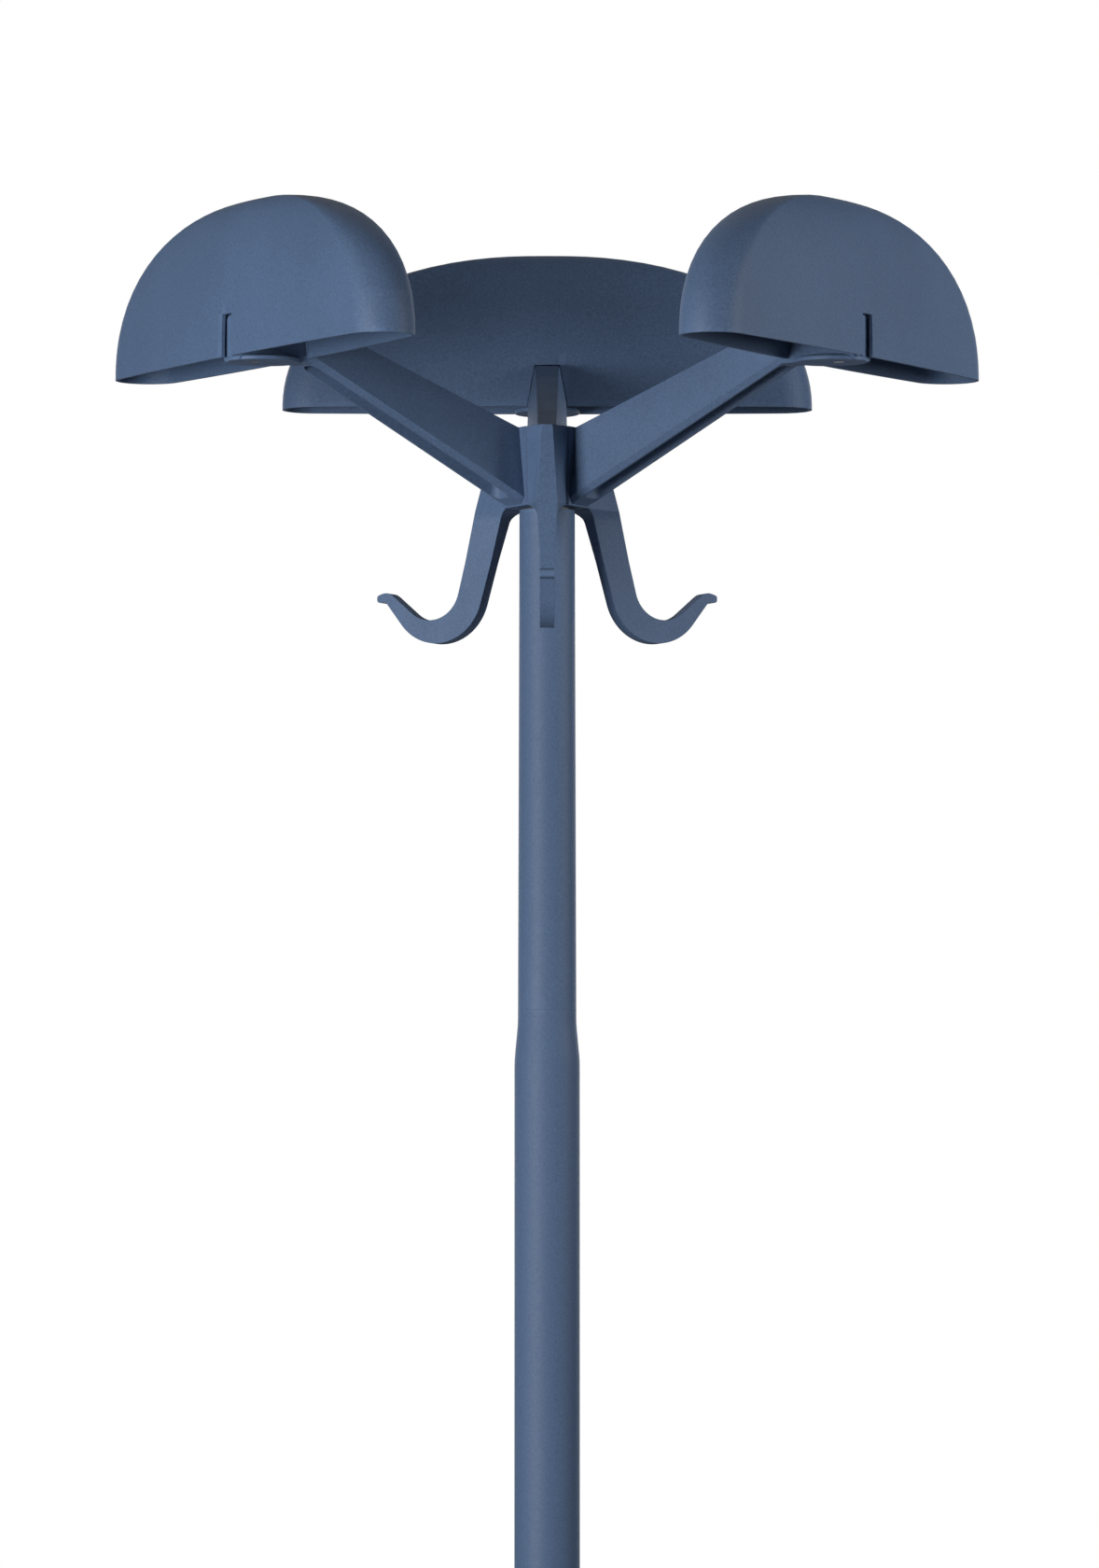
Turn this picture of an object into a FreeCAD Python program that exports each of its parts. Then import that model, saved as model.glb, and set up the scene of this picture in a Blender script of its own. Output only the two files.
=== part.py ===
import FreeCAD, Part
import math
import os
import re

import Sketcher
from FreeCAD import Placement, Rotation, Vector

# Coat stand: a round foot, a two-stage tube column and a swivelling head with three
# arms, three coat hooks and three half-moon hanger shells. Millimetres, +Z up, origin
# on the floor under the column's axis. Radial profiles are drawn as (radius, height).

SIZES = {
    # overall
    "overall_height": 1780, "hub_below_lip": 39, "hub_height": 57,
    # column tubes
    "upper_radius": 20, "neck_radius": 21, "lower_radius": 23.5, "tube_wall": 1.5,
    "upper_length": 363, "cone_height": 35.5, "cone_round": 40, "neck_straight": 9,
    "tube_foot": 15, "head_gap": 0.2,
    "sleeve_slack": 0.3, "sleeve_wall": 2, "sleeve_reach": 80,
    # fixings at the column's ends
    "foot_plug_height": 45, "foot_plug_slack": 0.15, "foot_bolt_radius": 6, "foot_bolt_length": 40,
    "foot_bolt_head": 9.5, "foot_bolt_head_height": 4, "foot_washer_radius": 14, "foot_washer": 2,
    "top_plug_height": 40, "top_flange": 2.5, "thrust_washer": 1.5, "thrust_washer_inset": 1,
    # foot
    "foot_radius": 190, "cover_wall": 2, "cover_rim": 22, "cover_lift": 3,
    "cover_edge_round": 8, "cover_dome_round": 60, "weight_gap": 8, "pad_gap": 2,
    "seat_radius": 45, "weight_thickness": 12, "weight_boss": 13, "pad_thickness": 5,
    "foot_recess": 16, "foot_recess_depth": 7,
    "collar_radius": 34, "collar_height": 12, "collar_chamfer": 3, "tube_slack": 0.3,
    # swivel
    "spindle_radius": 8, "spindle_slack": 0.05, "stud_radius": 5, "bush_radius": 10,
    "swivel_pocket": 13.5, "swivel_pocket_depth": 20, "swivel_washer_radius": 12.5,
    "swivel_washer": 2, "nut_flats": 16, "nut_height": 8, "stud_proud": 1, "cap_margin": 2,
    "cap_thickness": 3, "cap_chamfer": 1, "cap_slack": 0.1,
    "cap_screw_circle": 17.2, "cap_screw_radius": 1.8, "cap_screw_length": 14,
    "cap_screw_head": 3.4, "cap_screw_head_height": 1.5, "driver_slot": 1,
    # hub core and its keyways
    "core_apothem": 27, "key_depth": 6, "key_mouth": 5, "key_back": 7, "key_slack": 0.1, "key_floor": 4,
    # arms: a drafted channel that opens downward
    "arm_top_root": 6.25, "arm_root_gap": 1, "shoulder_step": 7, "shoulder_swell": 1.9,
    "arm_top_tip": 8.75, "arm_base_tip": 15, "bend_gap": 4, "blade_root": 5, "arm_rise": 30,
    "arm_drop": 3, "arm_root_drop": 0.3, "arm_root_lift": 1, "base_wall": 4, "top_wall": 3.5,
    "arm_web": 5.3, "groove_step": 6, "groove_end_gap": 2,
    "paddle_length": 48, "blade_thickness": 4, "blade_slack": 0.4, "screw_offset": 6,
    "shell_screw_radius": 2, "shell_screw_slack": 0.1, "shell_screw_head": 4,
    "shell_screw_head_height": 2.4, "shell_screw_reach": 48,
    # hanger shells
    "shell_height": 115, "shell_length": 392, "shell_depth": 60, "shell_centre": 234,
    "shell_wall": 2.6, "end_ratio": 0.81, "length_power": 2.25, "depth_power": 2.9,
    "slot_width": 13.5, "slot_height": 30.5, "notch_slack": 0.5, "rib_thickness": 3, "rib_top": 62,
    "rib_base_inset": 1, "rib_top_inset": 4, "boss_radius": 6.5, "boss_height": 26, "boss_end": 3,
    # hooks: a flat bar with a flared root
    "hook_thickness": 10.8, "root_step": 14, "root_top_edge": 4, "root_base_edge": 7.5,
    "flare_top_gap": 0.6, "flare_base_gap": 2.1, "neck_drop": 36, "front_lean": 0.2625,
    "back_step": 5.7, "back_lean": 0.298, "throat_radius": 24, "throat_corner": 152.7,
    "bend_radius": 38, "bend_corner": 194.4, "tip_reach": 137.8, "tip_depth": 112.8,
    "tip_corner": 128.7, "tip_round": 12, "nose_height": 6.2, "nose_corner": 132.6, "nose_radius": 3,
    # how far every cut runs past the face it opens
    "overrun": 1,
}

# Worked-out sizes, each a formula of the driving sizes.
DERIVED = {
    "lip": "overall_height - shell_height",
    "hub_top": "lip - hub_below_lip",
    "hub_base": "hub_top - hub_height",
    "cone_top": "hub_base - upper_length",
    "cone_foot": "cone_top - cone_height",
    "cone_shoulder": "cone_top - neck_straight",
    "sleeve_radius": "neck_radius - tube_wall - sleeve_slack",
    "washer_base": "hub_base - head_gap - thrust_washer",
    "tube_top": "washer_base - top_flange",
    "cap_base": "hub_top - cap_thickness",
    "pocket_floor": "cap_base - swivel_pocket_depth",
    "spindle_top": "pocket_floor + head_gap + swivel_washer + nut_height + stud_proud",
    "cap_radius": "core_apothem - cap_margin",
    "weight_radius": "foot_radius - weight_gap",
    "pad_radius": "weight_radius - pad_gap",
    "weight_top": "pad_thickness + weight_thickness",
    "seat_top": "weight_top + weight_boss",
    "key_base": "hub_base + key_floor",
    "arm_shoulder": "core_apothem + shoulder_step",
    "groove_start": "core_apothem + groove_step",
    "arm_bend": "shell_centre - shell_depth / 2 - bend_gap",
    "arm_end": "shell_centre + shell_depth / 2 - blade_root",
    "shell_screw_at": "shell_centre + screw_offset",
    "half_side": "core_apothem * tan(30)",
    "arm_base_root": "half_side - arm_root_gap",
    "arm_base_shoulder": "arm_base_root + shoulder_swell",
    "root_flare_top": "half_side - flare_top_gap",
    "root_flare_base": "half_side - flare_base_gap",
    "root_reach": "core_apothem + root_step",
    "notch_top": "lip + arm_rise + notch_slack",
}

AZIMUTHS = {"rear": 90, "left": 210, "right": 330}
HOOK_AZIMUTHS = {"front": 270, "left": 150, "right": 30}

doc = FreeCAD.newDocument("coat_stand")
sheet = doc.addObject("Spreadsheet::Sheet", "Sizes")
for row, (alias, amount) in enumerate(SIZES.items(), start=1):
    sheet.set(f"A{row}", alias.replace("_", " "))
    sheet.set(f"B{row}", str(amount))
    sheet.setAlias(f"B{row}", alias)
doc.recompute()

subparts = []


# ---------------------------------------------------------------- formulas and sketches

def formula(text):
    """Expression for a size formula: its names become references to the sheet's cells."""
    def reference(match):
        word = match.group()
        if word in DERIVED:
            return "(" + formula(DERIVED[word]) + ")"
        return "Sizes." + word if word in SIZES else word
    return re.sub(r"[a-z][a-z_]*", reference, str(text))


def value(text):
    """Present value of a size formula."""
    return float(sheet.evalExpression(formula(text)))


def new_body(label, azimuth=0):
    """Empty body for one piece, turned about the column's axis."""
    body = doc.addObject("PartDesign::Body", label)
    body.Label = label
    body.Placement = Placement(Vector(0, 0, 0), Rotation(Vector(0, 0, 1), azimuth))
    subparts.append(body)
    return body


def new_sketch(body, plane, offset="0"):
    """Sketch on one of the body's own origin planes, moved along the plane's normal."""
    sketch = body.newObject("Sketcher::SketchObject", body.Label + "_sketch")
    base = next(item for item in body.Origin.OriginFeatures if item.Role == plane + "_Plane")
    sketch.AttachmentSupport = (base, [""])
    sketch.MapMode = "FlatFace"
    sketch.setExpression("AttachmentOffset.Base.z", formula(offset))
    return sketch


def pin(sketch, element, end, spot):
    """Holds one point of a sketch at a pair of size formulas."""
    for kind, text in zip(("DistanceX", "DistanceY"), spot):
        index = sketch.addConstraint(Sketcher.Constraint(kind, -1, 1, element, end, value(text)))
        sketch.setExpression(f"Constraints[{index}]", formula(text))


def hold_radius(sketch, arc, text):
    """Binds an arc's radius to a size formula."""
    index = sketch.addConstraint(Sketcher.Constraint("Radius", arc, value(text)))
    sketch.setExpression(f"Constraints[{index}]", formula(text))


def end_near(sketch, arc, spot):
    """Number of the arc's end that lies nearest to a spot."""
    return 1 if (sketch.getPoint(arc, 1) - spot).Length < (sketch.getPoint(arc, 2) - spot).Length else 2


def outline(sketch, corners):
    """Closed outline through corners (x, y) or rounded corners (x, y, radius)."""
    spots = [Vector(value(corner[0]), value(corner[1]), 0) for corner in corners]
    rounds = []
    for index, corner in enumerate(corners):
        spot = spots[index]
        back = (spots[index - 1] - spot).normalize()
        ahead = (spots[(index + 1) % len(spots)] - spot).normalize()
        radius = value(corner[2]) if len(corner) > 2 else 0
        half = back.getAngle(ahead) / 2
        reach = radius / math.tan(half)
        middle = spot + (back + ahead).normalize() * (radius / math.sin(half) - radius)
        rounds.append((spot + back * reach, middle, spot + ahead * reach))
    lines = [sketch.addGeometry(Part.LineSegment(rounds[index - 1][2], rounds[index][0]))
             for index in range(len(spots))]
    for index, corner in enumerate(corners):
        arrive, leave = lines[index], lines[(index + 1) % len(lines)]
        start, middle, finish = rounds[index]
        if len(corner) == 2:
            sketch.addConstraint(Sketcher.Constraint("Coincident", arrive, 2, leave, 1))
            pin(sketch, leave, 1, corner)
            continue
        arc = sketch.addGeometry(Part.Arc(start, middle, finish))
        point = sketch.addGeometry(Part.Point(spots[index]), True)
        first = end_near(sketch, arc, start)
        sketch.addConstraint(Sketcher.Constraint("Tangent", arrive, 2, arc, first))
        sketch.addConstraint(Sketcher.Constraint("Tangent", arc, 3 - first, leave, 1))
        sketch.addConstraint(Sketcher.Constraint("PointOnObject", point, 1, arrive))
        sketch.addConstraint(Sketcher.Constraint("PointOnObject", point, 1, leave))
        pin(sketch, point, 1, corner)
        hold_radius(sketch, arc, corner[2])


def oval(sketch, across, half_across, half_deep):
    """Four-arc oval about (across, 0): half_across along X, half_deep along Y, blunt ends."""
    long_way, short_way = half_across, half_deep
    upright = value(half_deep) > value(half_across)
    if upright:
        long_way, short_way = half_deep, half_across
    blunt = f"({short_way} * end_ratio)"
    centre = f"({long_way} - {blunt})"
    flat = f"(({centre}^2 + {short_way}^2 - {blunt}^2) / (2 * ({short_way} - {blunt})))"
    along = f"({centre} * {flat} / ({flat} - {blunt}))"
    beside = f"({blunt} * ({flat} - {short_way}) / ({flat} - {blunt}))"
    tangents = [(1, 1), (-1, 1), (-1, -1), (1, -1)]
    middles = [(0, short_way), (long_way, 0), (0, short_way), (long_way, 0)]
    arcs = []
    for index, (sx, sy) in enumerate(tangents):
        nx, ny = tangents[(index + 1) % 4]
        mx, my = value(middles[index][0]), value(middles[index][1])
        middle = (mx * (sx + nx) / 2, my * (sy + ny) / 2)
        trio = [(sx * value(along), sy * value(beside)), middle, (nx * value(along), ny * value(beside))]
        if upright:
            trio = [(-y, x) for x, y in trio]
        spots = [Vector(value(across) + x, y, 0) for x, y in trio]
        arcs.append(sketch.addGeometry(Part.Arc(*spots)))
    for index, (sx, sy) in enumerate(tangents):
        sketch.addConstraint(Sketcher.Constraint("Coincident", arcs[index - 1], 2, arcs[index], 1))
        spot = (f"{sx} * {along}", f"{sy} * {beside}")
        if upright:
            spot = (f"-1 * {sy} * {beside}", f"{sx} * {along}")
        pin(sketch, arcs[index], 1, (f"{across} + {spot[0]}", spot[1]))
        hold_radius(sketch, arcs[index], flat if index % 2 == 0 else blunt)


def circle(sketch, across, radius):
    """Circle about (across, 0)."""
    ring = sketch.addGeometry(Part.Circle(Vector(value(across), 0, 0), Vector(0, 0, 1), value(radius)))
    pin(sketch, ring, 3, (across, "0"))
    hold_radius(sketch, ring, radius)


# ---------------------------------------------------------------- features

def feature(body, kind, sketch):
    """New PartDesign feature of a body, made from a sketch."""
    item = body.newObject("PartDesign::" + kind, f"{body.Label}_{kind}".lower())
    item.Profile = sketch
    return item


def turned(body, corners, kind="Revolution"):
    """Turns a (radius, height) profile about the column's axis."""
    sketch = new_sketch(body, "XZ")
    outline(sketch, corners)
    item = feature(body, kind, sketch)
    item.ReferenceAxis = (sketch, ["V_Axis"])
    item.Angle = 360
    return item


def raised(body, sketch, height, kind="Pad", symmetric=False):
    """Pads or pockets a sketch along its normal, or evenly to both sides of it."""
    item = feature(body, kind, sketch)
    item.setExpression("Length", formula(height))
    if symmetric:
        item.SideType = "Symmetric"
    item.Reversed = kind == "Pocket" and not symmetric
    return item


def lofted(body, sketches, kind="AdditiveLoft", ruled=True):
    """Lofts a body through a row of sketches."""
    item = feature(body, kind, sketches[0])
    item.Sections = sketches[1:]
    item.Ruled = ruled
    return item


def tube_profile(outer, inner, base, top):
    """Corners of a plain ring between two radii and two heights."""
    return [(inner, base), (outer, base), (outer, top), (inner, top)]


def revolved_piece(label, corners):
    """A piece that is one turned profile."""
    body = new_body(label)
    turned(body, corners)
    return body


# ---------------------------------------------------------------- foot

def build_foot():
    """Rubber pad, cast weight, spun cover and the collar round the tube."""
    revolved_piece("foot_pad", tube_profile("pad_radius", "0", "0", "pad_thickness"))
    revolved_piece("base_weight", [
        ("foot_bolt_radius + tube_slack", "pad_thickness + foot_recess_depth"),
        ("foot_recess", "pad_thickness + foot_recess_depth"),
        ("foot_recess", "pad_thickness"), ("weight_radius", "pad_thickness"),
        ("weight_radius", "weight_top"), ("seat_radius + weight_boss", "weight_top"),
        ("seat_radius", "seat_top"), ("lower_radius + tube_slack", "seat_top"),
        ("lower_radius + tube_slack", "tube_foot"), ("foot_bolt_radius + tube_slack", "tube_foot")])
    wall = "cover_wall"
    revolved_piece("base_cover", [
        ("lower_radius + tube_slack", "seat_top"), (f"seat_radius + {wall}", "seat_top"),
        (f"foot_radius - {wall}", f"cover_rim + cover_lift - {wall}", f"cover_edge_round - {wall}"),
        (f"foot_radius - {wall}", "cover_lift"), ("foot_radius", "cover_lift"),
        ("foot_radius", "cover_rim + cover_lift", "cover_edge_round"),
        ("seat_radius", f"seat_top + {wall}", "cover_dome_round"),
        ("lower_radius + tube_slack", f"seat_top + {wall}")])
    collar_base = f"seat_top + {wall}"
    revolved_piece("base_collar", [
        ("lower_radius + foot_plug_slack", collar_base), ("collar_radius", collar_base),
        ("collar_radius", f"{collar_base} + collar_height - collar_chamfer"),
        ("collar_radius - collar_chamfer", f"{collar_base} + collar_height"),
        ("lower_radius + foot_plug_slack", f"{collar_base} + collar_height")])


def build_foot_fixing():
    """Plug pressed in the tube's foot, with the bolt and washer that hold the weight."""
    bore = "lower_radius - tube_wall - foot_plug_slack"
    revolved_piece("foot_plug", tube_profile(bore, "foot_bolt_radius", "tube_foot",
                                             "tube_foot + foot_plug_height"))
    seat = "pad_thickness + foot_recess_depth"
    washer_base = f"{seat} - foot_washer"
    revolved_piece("foot_washer_ring", tube_profile("foot_washer_radius", "foot_bolt_radius",
                                                    washer_base, seat))
    revolved_piece("foot_bolt", [
        ("0", f"{washer_base} - foot_bolt_head_height"),
        ("foot_bolt_head", f"{washer_base} - foot_bolt_head_height"),
        ("foot_bolt_head", washer_base), ("foot_bolt_radius", washer_base),
        ("foot_bolt_radius", f"{washer_base} + foot_bolt_length"),
        ("0", f"{washer_base} + foot_bolt_length")])


# ---------------------------------------------------------------- column

def build_column():
    """Lower tube with its swaged neck, inner sleeve and tapered upper tube."""
    wall = "tube_wall"
    revolved_piece("lower_tube", [
        (f"lower_radius - {wall}", "tube_foot"), ("lower_radius", "tube_foot"),
        ("lower_radius", "cone_foot", "cone_round"), ("neck_radius", "cone_shoulder", "cone_round"),
        ("neck_radius", "cone_top"), (f"neck_radius - {wall}", "cone_top"),
        (f"neck_radius - {wall}", "cone_shoulder"), (f"lower_radius - {wall}", "cone_foot")])
    revolved_piece("joint_sleeve", tube_profile("sleeve_radius", "sleeve_radius - sleeve_wall",
                                                "cone_top - sleeve_reach", "cone_top + sleeve_reach"))
    revolved_piece("upper_tube", [
        (f"neck_radius - {wall}", "cone_top"), ("neck_radius", "cone_top"),
        ("upper_radius", "tube_top"), (f"upper_radius - {wall}", "tube_top")])


def build_swivel():
    """Top plug, spindle, washers and nut that the head turns on."""
    bore = "upper_radius - tube_wall - foot_plug_slack"
    plug_base = "tube_top - top_plug_height"
    revolved_piece("top_plug", [
        ("spindle_radius", plug_base), (bore, plug_base), (bore, "tube_top"),
        ("upper_radius", "tube_top"), ("upper_radius", "washer_base"), ("spindle_radius", "washer_base")])
    revolved_piece("thrust_washer_ring", tube_profile(
        "upper_radius - thrust_washer_inset", "spindle_radius + spindle_slack", "washer_base",
        "washer_base + thrust_washer"))
    shoulder = "pocket_floor + head_gap"
    revolved_piece("spindle", [
        ("0", plug_base), ("spindle_radius", plug_base), ("spindle_radius", shoulder),
        ("stud_radius", shoulder), ("stud_radius", "spindle_top"), ("0", "spindle_top")])
    revolved_piece("spindle_washer", tube_profile("swivel_washer_radius", "stud_radius", shoulder,
                                                  f"{shoulder} + swivel_washer"))
    nut = new_body("spindle_nut")
    sketch = new_sketch(nut, "XY", f"{shoulder} + swivel_washer")
    outline(sketch, hexagon("nut_flats / 2"))
    raised(nut, sketch, "nut_height")
    bore_sketch = new_sketch(nut, "XY", f"{shoulder} + swivel_washer")
    circle(bore_sketch, "0", "stud_radius")
    raised(nut, bore_sketch, "nut_height", "Pocket")


def hexagon(apothem):
    """Corners of a hexagon whose faces look along 30, 90, 150 ... degrees."""
    return [(f"{apothem} / cos(30) * cos({angle})", f"{apothem} / cos(30) * sin({angle})")
            for angle in range(0, 360, 60)]


# ---------------------------------------------------------------- hub

def key_corners(slack, front):
    """Dovetail key in plan, widening towards the hub's axis, out to the radius front."""
    back = f"core_apothem - key_depth - {slack}"
    return [(back, f"-1 * (key_back + {slack})"), (front, f"-1 * (key_mouth + {slack})"),
            (front, f"key_mouth + {slack}"), (back, f"key_back + {slack}")]


def build_hub():
    """Hexagonal core with six blind keyways, its bush, its flush cap and the cap's screws."""
    core = new_body("hub_core")
    sketch = new_sketch(core, "XY", "hub_base")
    outline(sketch, hexagon("core_apothem"))
    raised(core, sketch, "hub_height")
    turned(core, [("0", "hub_base - overrun"), ("bush_radius", "hub_base - overrun"),
                  ("bush_radius", "pocket_floor"), ("swivel_pocket", "pocket_floor"),
                  ("swivel_pocket", "cap_base"), ("cap_radius + cap_slack", "cap_base"),
                  ("cap_radius + cap_slack", "hub_top + overrun"), ("0", "hub_top + overrun")],
           "Groove")
    keyway = new_sketch(core, "XY", "key_base")
    outline(keyway, [(f"({x}) * cos(30) - ({y}) * sin(30)", f"({x}) * sin(30) + ({y}) * cos(30)")
                     for x, y in key_corners("key_slack", "core_apothem + overrun")])
    cut = raised(core, keyway, "hub_height", "Pocket")
    repeat(core, cut, 6)
    hole = new_sketch(core, "XY", "cap_base - cap_screw_length")
    circle(hole, "cap_screw_circle", "cap_screw_radius")
    cut = raised(core, hole, "cap_screw_length + overrun", "Pocket")
    repeat(core, cut, 3)

    revolved_piece("hub_bush", tube_profile("bush_radius", "spindle_radius + spindle_slack",
                                            "hub_base", "pocket_floor"))
    cap = new_body("hub_cap")
    turned(cap, [("0", "cap_base"), ("cap_radius", "cap_base"), ("cap_radius", "hub_top - cap_chamfer"),
                 ("cap_radius - cap_chamfer", "hub_top"), ("0", "hub_top")])
    hole = new_sketch(cap, "XY", "cap_base")
    circle(hole, "cap_screw_circle", "cap_screw_radius")
    repeat(cap, raised(cap, hole, "cap_thickness + overrun", "Pocket"), 3)
    sink = new_sketch(cap, "XY", "hub_top - cap_screw_head_height")
    circle(sink, "cap_screw_circle", "cap_screw_head")
    repeat(cap, raised(cap, sink, "cap_thickness", "Pocket"), 3)
    build_cap_screws()


def repeat(body, item, count):
    """Repeats a feature round the column's axis."""
    doc.recompute()
    pattern = body.newObject("PartDesign::PolarPattern", f"{body.Label}_pattern")
    pattern.Originals = [item]
    axis = next(part for part in body.Origin.OriginFeatures if part.Role == "Z_Axis")
    pattern.Axis = (axis, [""])
    pattern.Angle = 360
    pattern.Occurrences = count
    body.Tip = pattern
    return pattern


def screw_solid(across, base, length, radius, head, head_height, head_up):
    """One screw on a vertical axis at (across, 0), its head at the top or at the bottom."""
    shank = Part.makeCylinder(value(radius), value(length), Vector(value(across), 0, value(base)))
    level = value(base) + value(length) if head_up else value(base) - value(head_height)
    top = Part.makeCylinder(value(head), value(head_height), Vector(value(across), 0, level))
    cut = value("driver_slot")
    lift = level + value(head_height) - cut if head_up else level
    slot = Part.makeBox(2 * value(head), cut, cut, Vector(value(across) - value(head), -cut / 2, lift))
    return shank.fuse(top).removeSplitter().cut(slot)


def screw_group(label, screw, azimuths):
    """Identical screws round the axis, kept as separate solids of one piece."""
    item = doc.addObject("Part::Feature", label)
    item.Label = label
    solids = []
    for azimuth in azimuths:
        copy = screw.copy()
        copy.rotate(Vector(0, 0, 0), Vector(0, 0, 1), azimuth)
        solids.append(copy)
    item.Shape = Part.Compound(solids)
    subparts.append(item)


def build_cap_screws():
    """Three small screws that hold the cap down on the core."""
    seat = "hub_top - cap_screw_head_height"
    length = "cap_screw_length - overrun"
    screw = screw_solid("cap_screw_circle", f"{seat} - ({length})", length, "cap_screw_radius",
                        "cap_screw_head", "cap_screw_head_height", True)
    screw_group("cap_screws", screw, (0, 120, 240))


# ---------------------------------------------------------------- arms

def trapezoid(body, across, base, top, half_base, half_top):
    """Upright trapezoid at one radius: half widths at its base and at its top."""
    sketch = new_sketch(body, "YZ", across)
    outline(sketch, [(f"-1 * ({half_base})", base), (half_base, base), (half_top, top),
                     (f"-1 * ({half_top})", top)])
    return sketch


def arm_line(across, near, far):
    """Height of a straight arm edge at a radius, between its root and its bend."""
    return f"({near} + ({far} - ({near})) * ({across} - core_apothem) / (arm_bend - core_apothem))"


def build_arm(side, azimuth):
    """Drafted channel arm with a dovetail key, an oval paddle and a blade at its end."""
    body = new_body("arm_" + side, azimuth)
    top_root, base_root = "(hub_top - arm_root_drop)", "(hub_base + arm_root_lift)"
    top_end, base_end = "(lip + arm_rise)", "(lip - arm_drop)"
    stations = [("core_apothem", "arm_base_root", "arm_top_root"),
                ("arm_shoulder", "arm_base_shoulder", "arm_top_root"),
                ("arm_bend", "arm_base_tip", "arm_top_tip")]
    sections = [trapezoid(body, across, arm_line(across, base_root, base_end),
                          arm_line(across, top_root, top_end), half_base, half_top)
                for across, half_base, half_top in stations]
    sections.append(trapezoid(body, "arm_end", base_end, top_end, "arm_base_tip", "arm_top_tip"))
    lofted(body, sections)
    key = new_sketch(body, "XY", "key_base")
    outline(key, key_corners("0", "core_apothem + overrun"))
    raised(body, key, "cap_base - key_base")
    groove = [trapezoid(body, across, f"{arm_line(across, base_root, base_end)} - 4 * overrun",
                        f"{arm_line(across, top_root, top_end)} - arm_web",
                        f"{half_base} - base_wall", f"{half_top} - top_wall")
              for across, half_base, half_top in (
                  ("groove_start", "arm_base_shoulder", "arm_top_root"),
                  ("(arm_bend - groove_end_gap)", "arm_base_tip", "arm_top_tip"))]
    lofted(body, groove, "SubtractiveLoft")
    paddle = new_sketch(body, "XY", base_end)
    oval(paddle, "shell_centre", "(shell_depth / 2 - shell_wall - blade_slack)", "(paddle_length / 2)")
    raised(body, paddle, "arm_drop")
    blade = new_sketch(body, "XZ")
    outline(blade, [("arm_end - overrun", base_end), ("shell_centre + shell_depth / 2", base_end),
                    ("shell_centre + shell_depth / 2", "lip + arm_rise - blade_slack"),
                    ("arm_end - overrun", "lip + arm_rise - blade_slack")])
    raised(body, blade, "blade_thickness", symmetric=True)
    hole = new_sketch(body, "XY", f"{base_end} - overrun")
    circle(hole, "shell_screw_at", "shell_screw_radius + shell_screw_slack")
    raised(body, hole, "arm_rise + arm_drop + 2 * overrun", "Pocket")
    sink = new_sketch(body, "XY", f"{base_end} - overrun")
    circle(sink, "shell_screw_at", "shell_screw_head + shell_screw_slack")
    raised(body, sink, "shell_screw_head_height + overrun", "Pocket")


# ---------------------------------------------------------------- hanger shells

def shell_section(body, share, inset):
    """Horizontal oval of a shell at a share of its height, drawn in by the wall."""
    length = f"((shell_length / 2 - {inset}) * (1 - {share}^length_power)^(1 / length_power))"
    depth = f"((shell_depth / 2 - {inset}) * (1 - {share}^length_power)^(1 / depth_power))"
    sketch = new_sketch(body, "XY", f"lip + (shell_height - {inset}) * {share}")
    oval(sketch, "shell_centre", depth, length)
    return sketch


def build_shell(side, azimuth):
    """Half-moon hanger shell, open below, notched for its arm and slotted for the blade."""
    body = new_body("shell_" + side, azimuth)
    shares = ("0", "0.3", "0.55", "0.75", "0.88", "0.96", "0.995")
    lofted(body, [shell_section(body, share, "0") for share in shares], ruled=False)
    lofted(body, [shell_section(body, share, "shell_wall") for share in shares], "SubtractiveLoft", False)
    rib = new_sketch(body, "XZ")
    outline(rib, [("shell_centre - shell_depth / 2 + rib_base_inset", "notch_top"),
                  ("shell_centre + shell_depth / 2 - rib_base_inset", "notch_top"),
                  ("shell_centre + shell_depth / 2 - rib_top_inset", "lip + rib_top"),
                  ("shell_centre - shell_depth / 2 + rib_top_inset", "lip + rib_top")])
    raised(body, rib, "rib_thickness", symmetric=True)
    boss = new_sketch(body, "XY", "notch_top")
    circle(boss, "shell_screw_at", "boss_radius")
    raised(body, boss, "boss_height")
    hole = new_sketch(body, "XY", "lip + arm_rise")
    circle(hole, "shell_screw_at", "shell_screw_radius")
    raised(body, hole, "boss_height - boss_end", "Pocket")
    notch = trapezoid(body, "shell_centre - shell_depth / 2 - overrun", "lip - overrun", "notch_top",
                      "arm_base_tip + notch_slack", "arm_top_tip + notch_slack")
    raised(body, notch, "shell_depth / 2", "Pocket")
    slot = new_sketch(body, "YZ", "shell_centre")
    outline(slot, [("-1 * slot_width / 2", "lip - overrun"), ("slot_width / 2", "lip - overrun"),
                   ("slot_width / 2", "lip + slot_height"), ("-1 * slot_width / 2", "lip + slot_height")])
    raised(body, slot, "shell_depth", "Pocket")


def build_shell_screws():
    """One screw up through each arm's paddle into the boss of its shell."""
    seat = "lip - arm_drop + shell_screw_head_height"
    screw = screw_solid("shell_screw_at", seat, "shell_screw_reach", "shell_screw_radius",
                        "shell_screw_head", "shell_screw_head_height", False)
    screw_group("shell_screws", screw, AZIMUTHS.values())


# ---------------------------------------------------------------- hooks

def plan_trapezoid(body, level, near, far, half_near, half_far):
    """Level trapezoid between two radii, with half widths at each."""
    sketch = new_sketch(body, "XY", level)
    outline(sketch, [(near, f"-1 * ({half_near})"), (far, f"-1 * ({half_far})"), (far, half_far),
                     (near, half_near)])
    return sketch


def hook_front(depth):
    """Radius of the hook's leaning outer edge at a depth below the hub's top."""
    return f"(root_reach + front_lean * ({depth}))"


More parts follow.
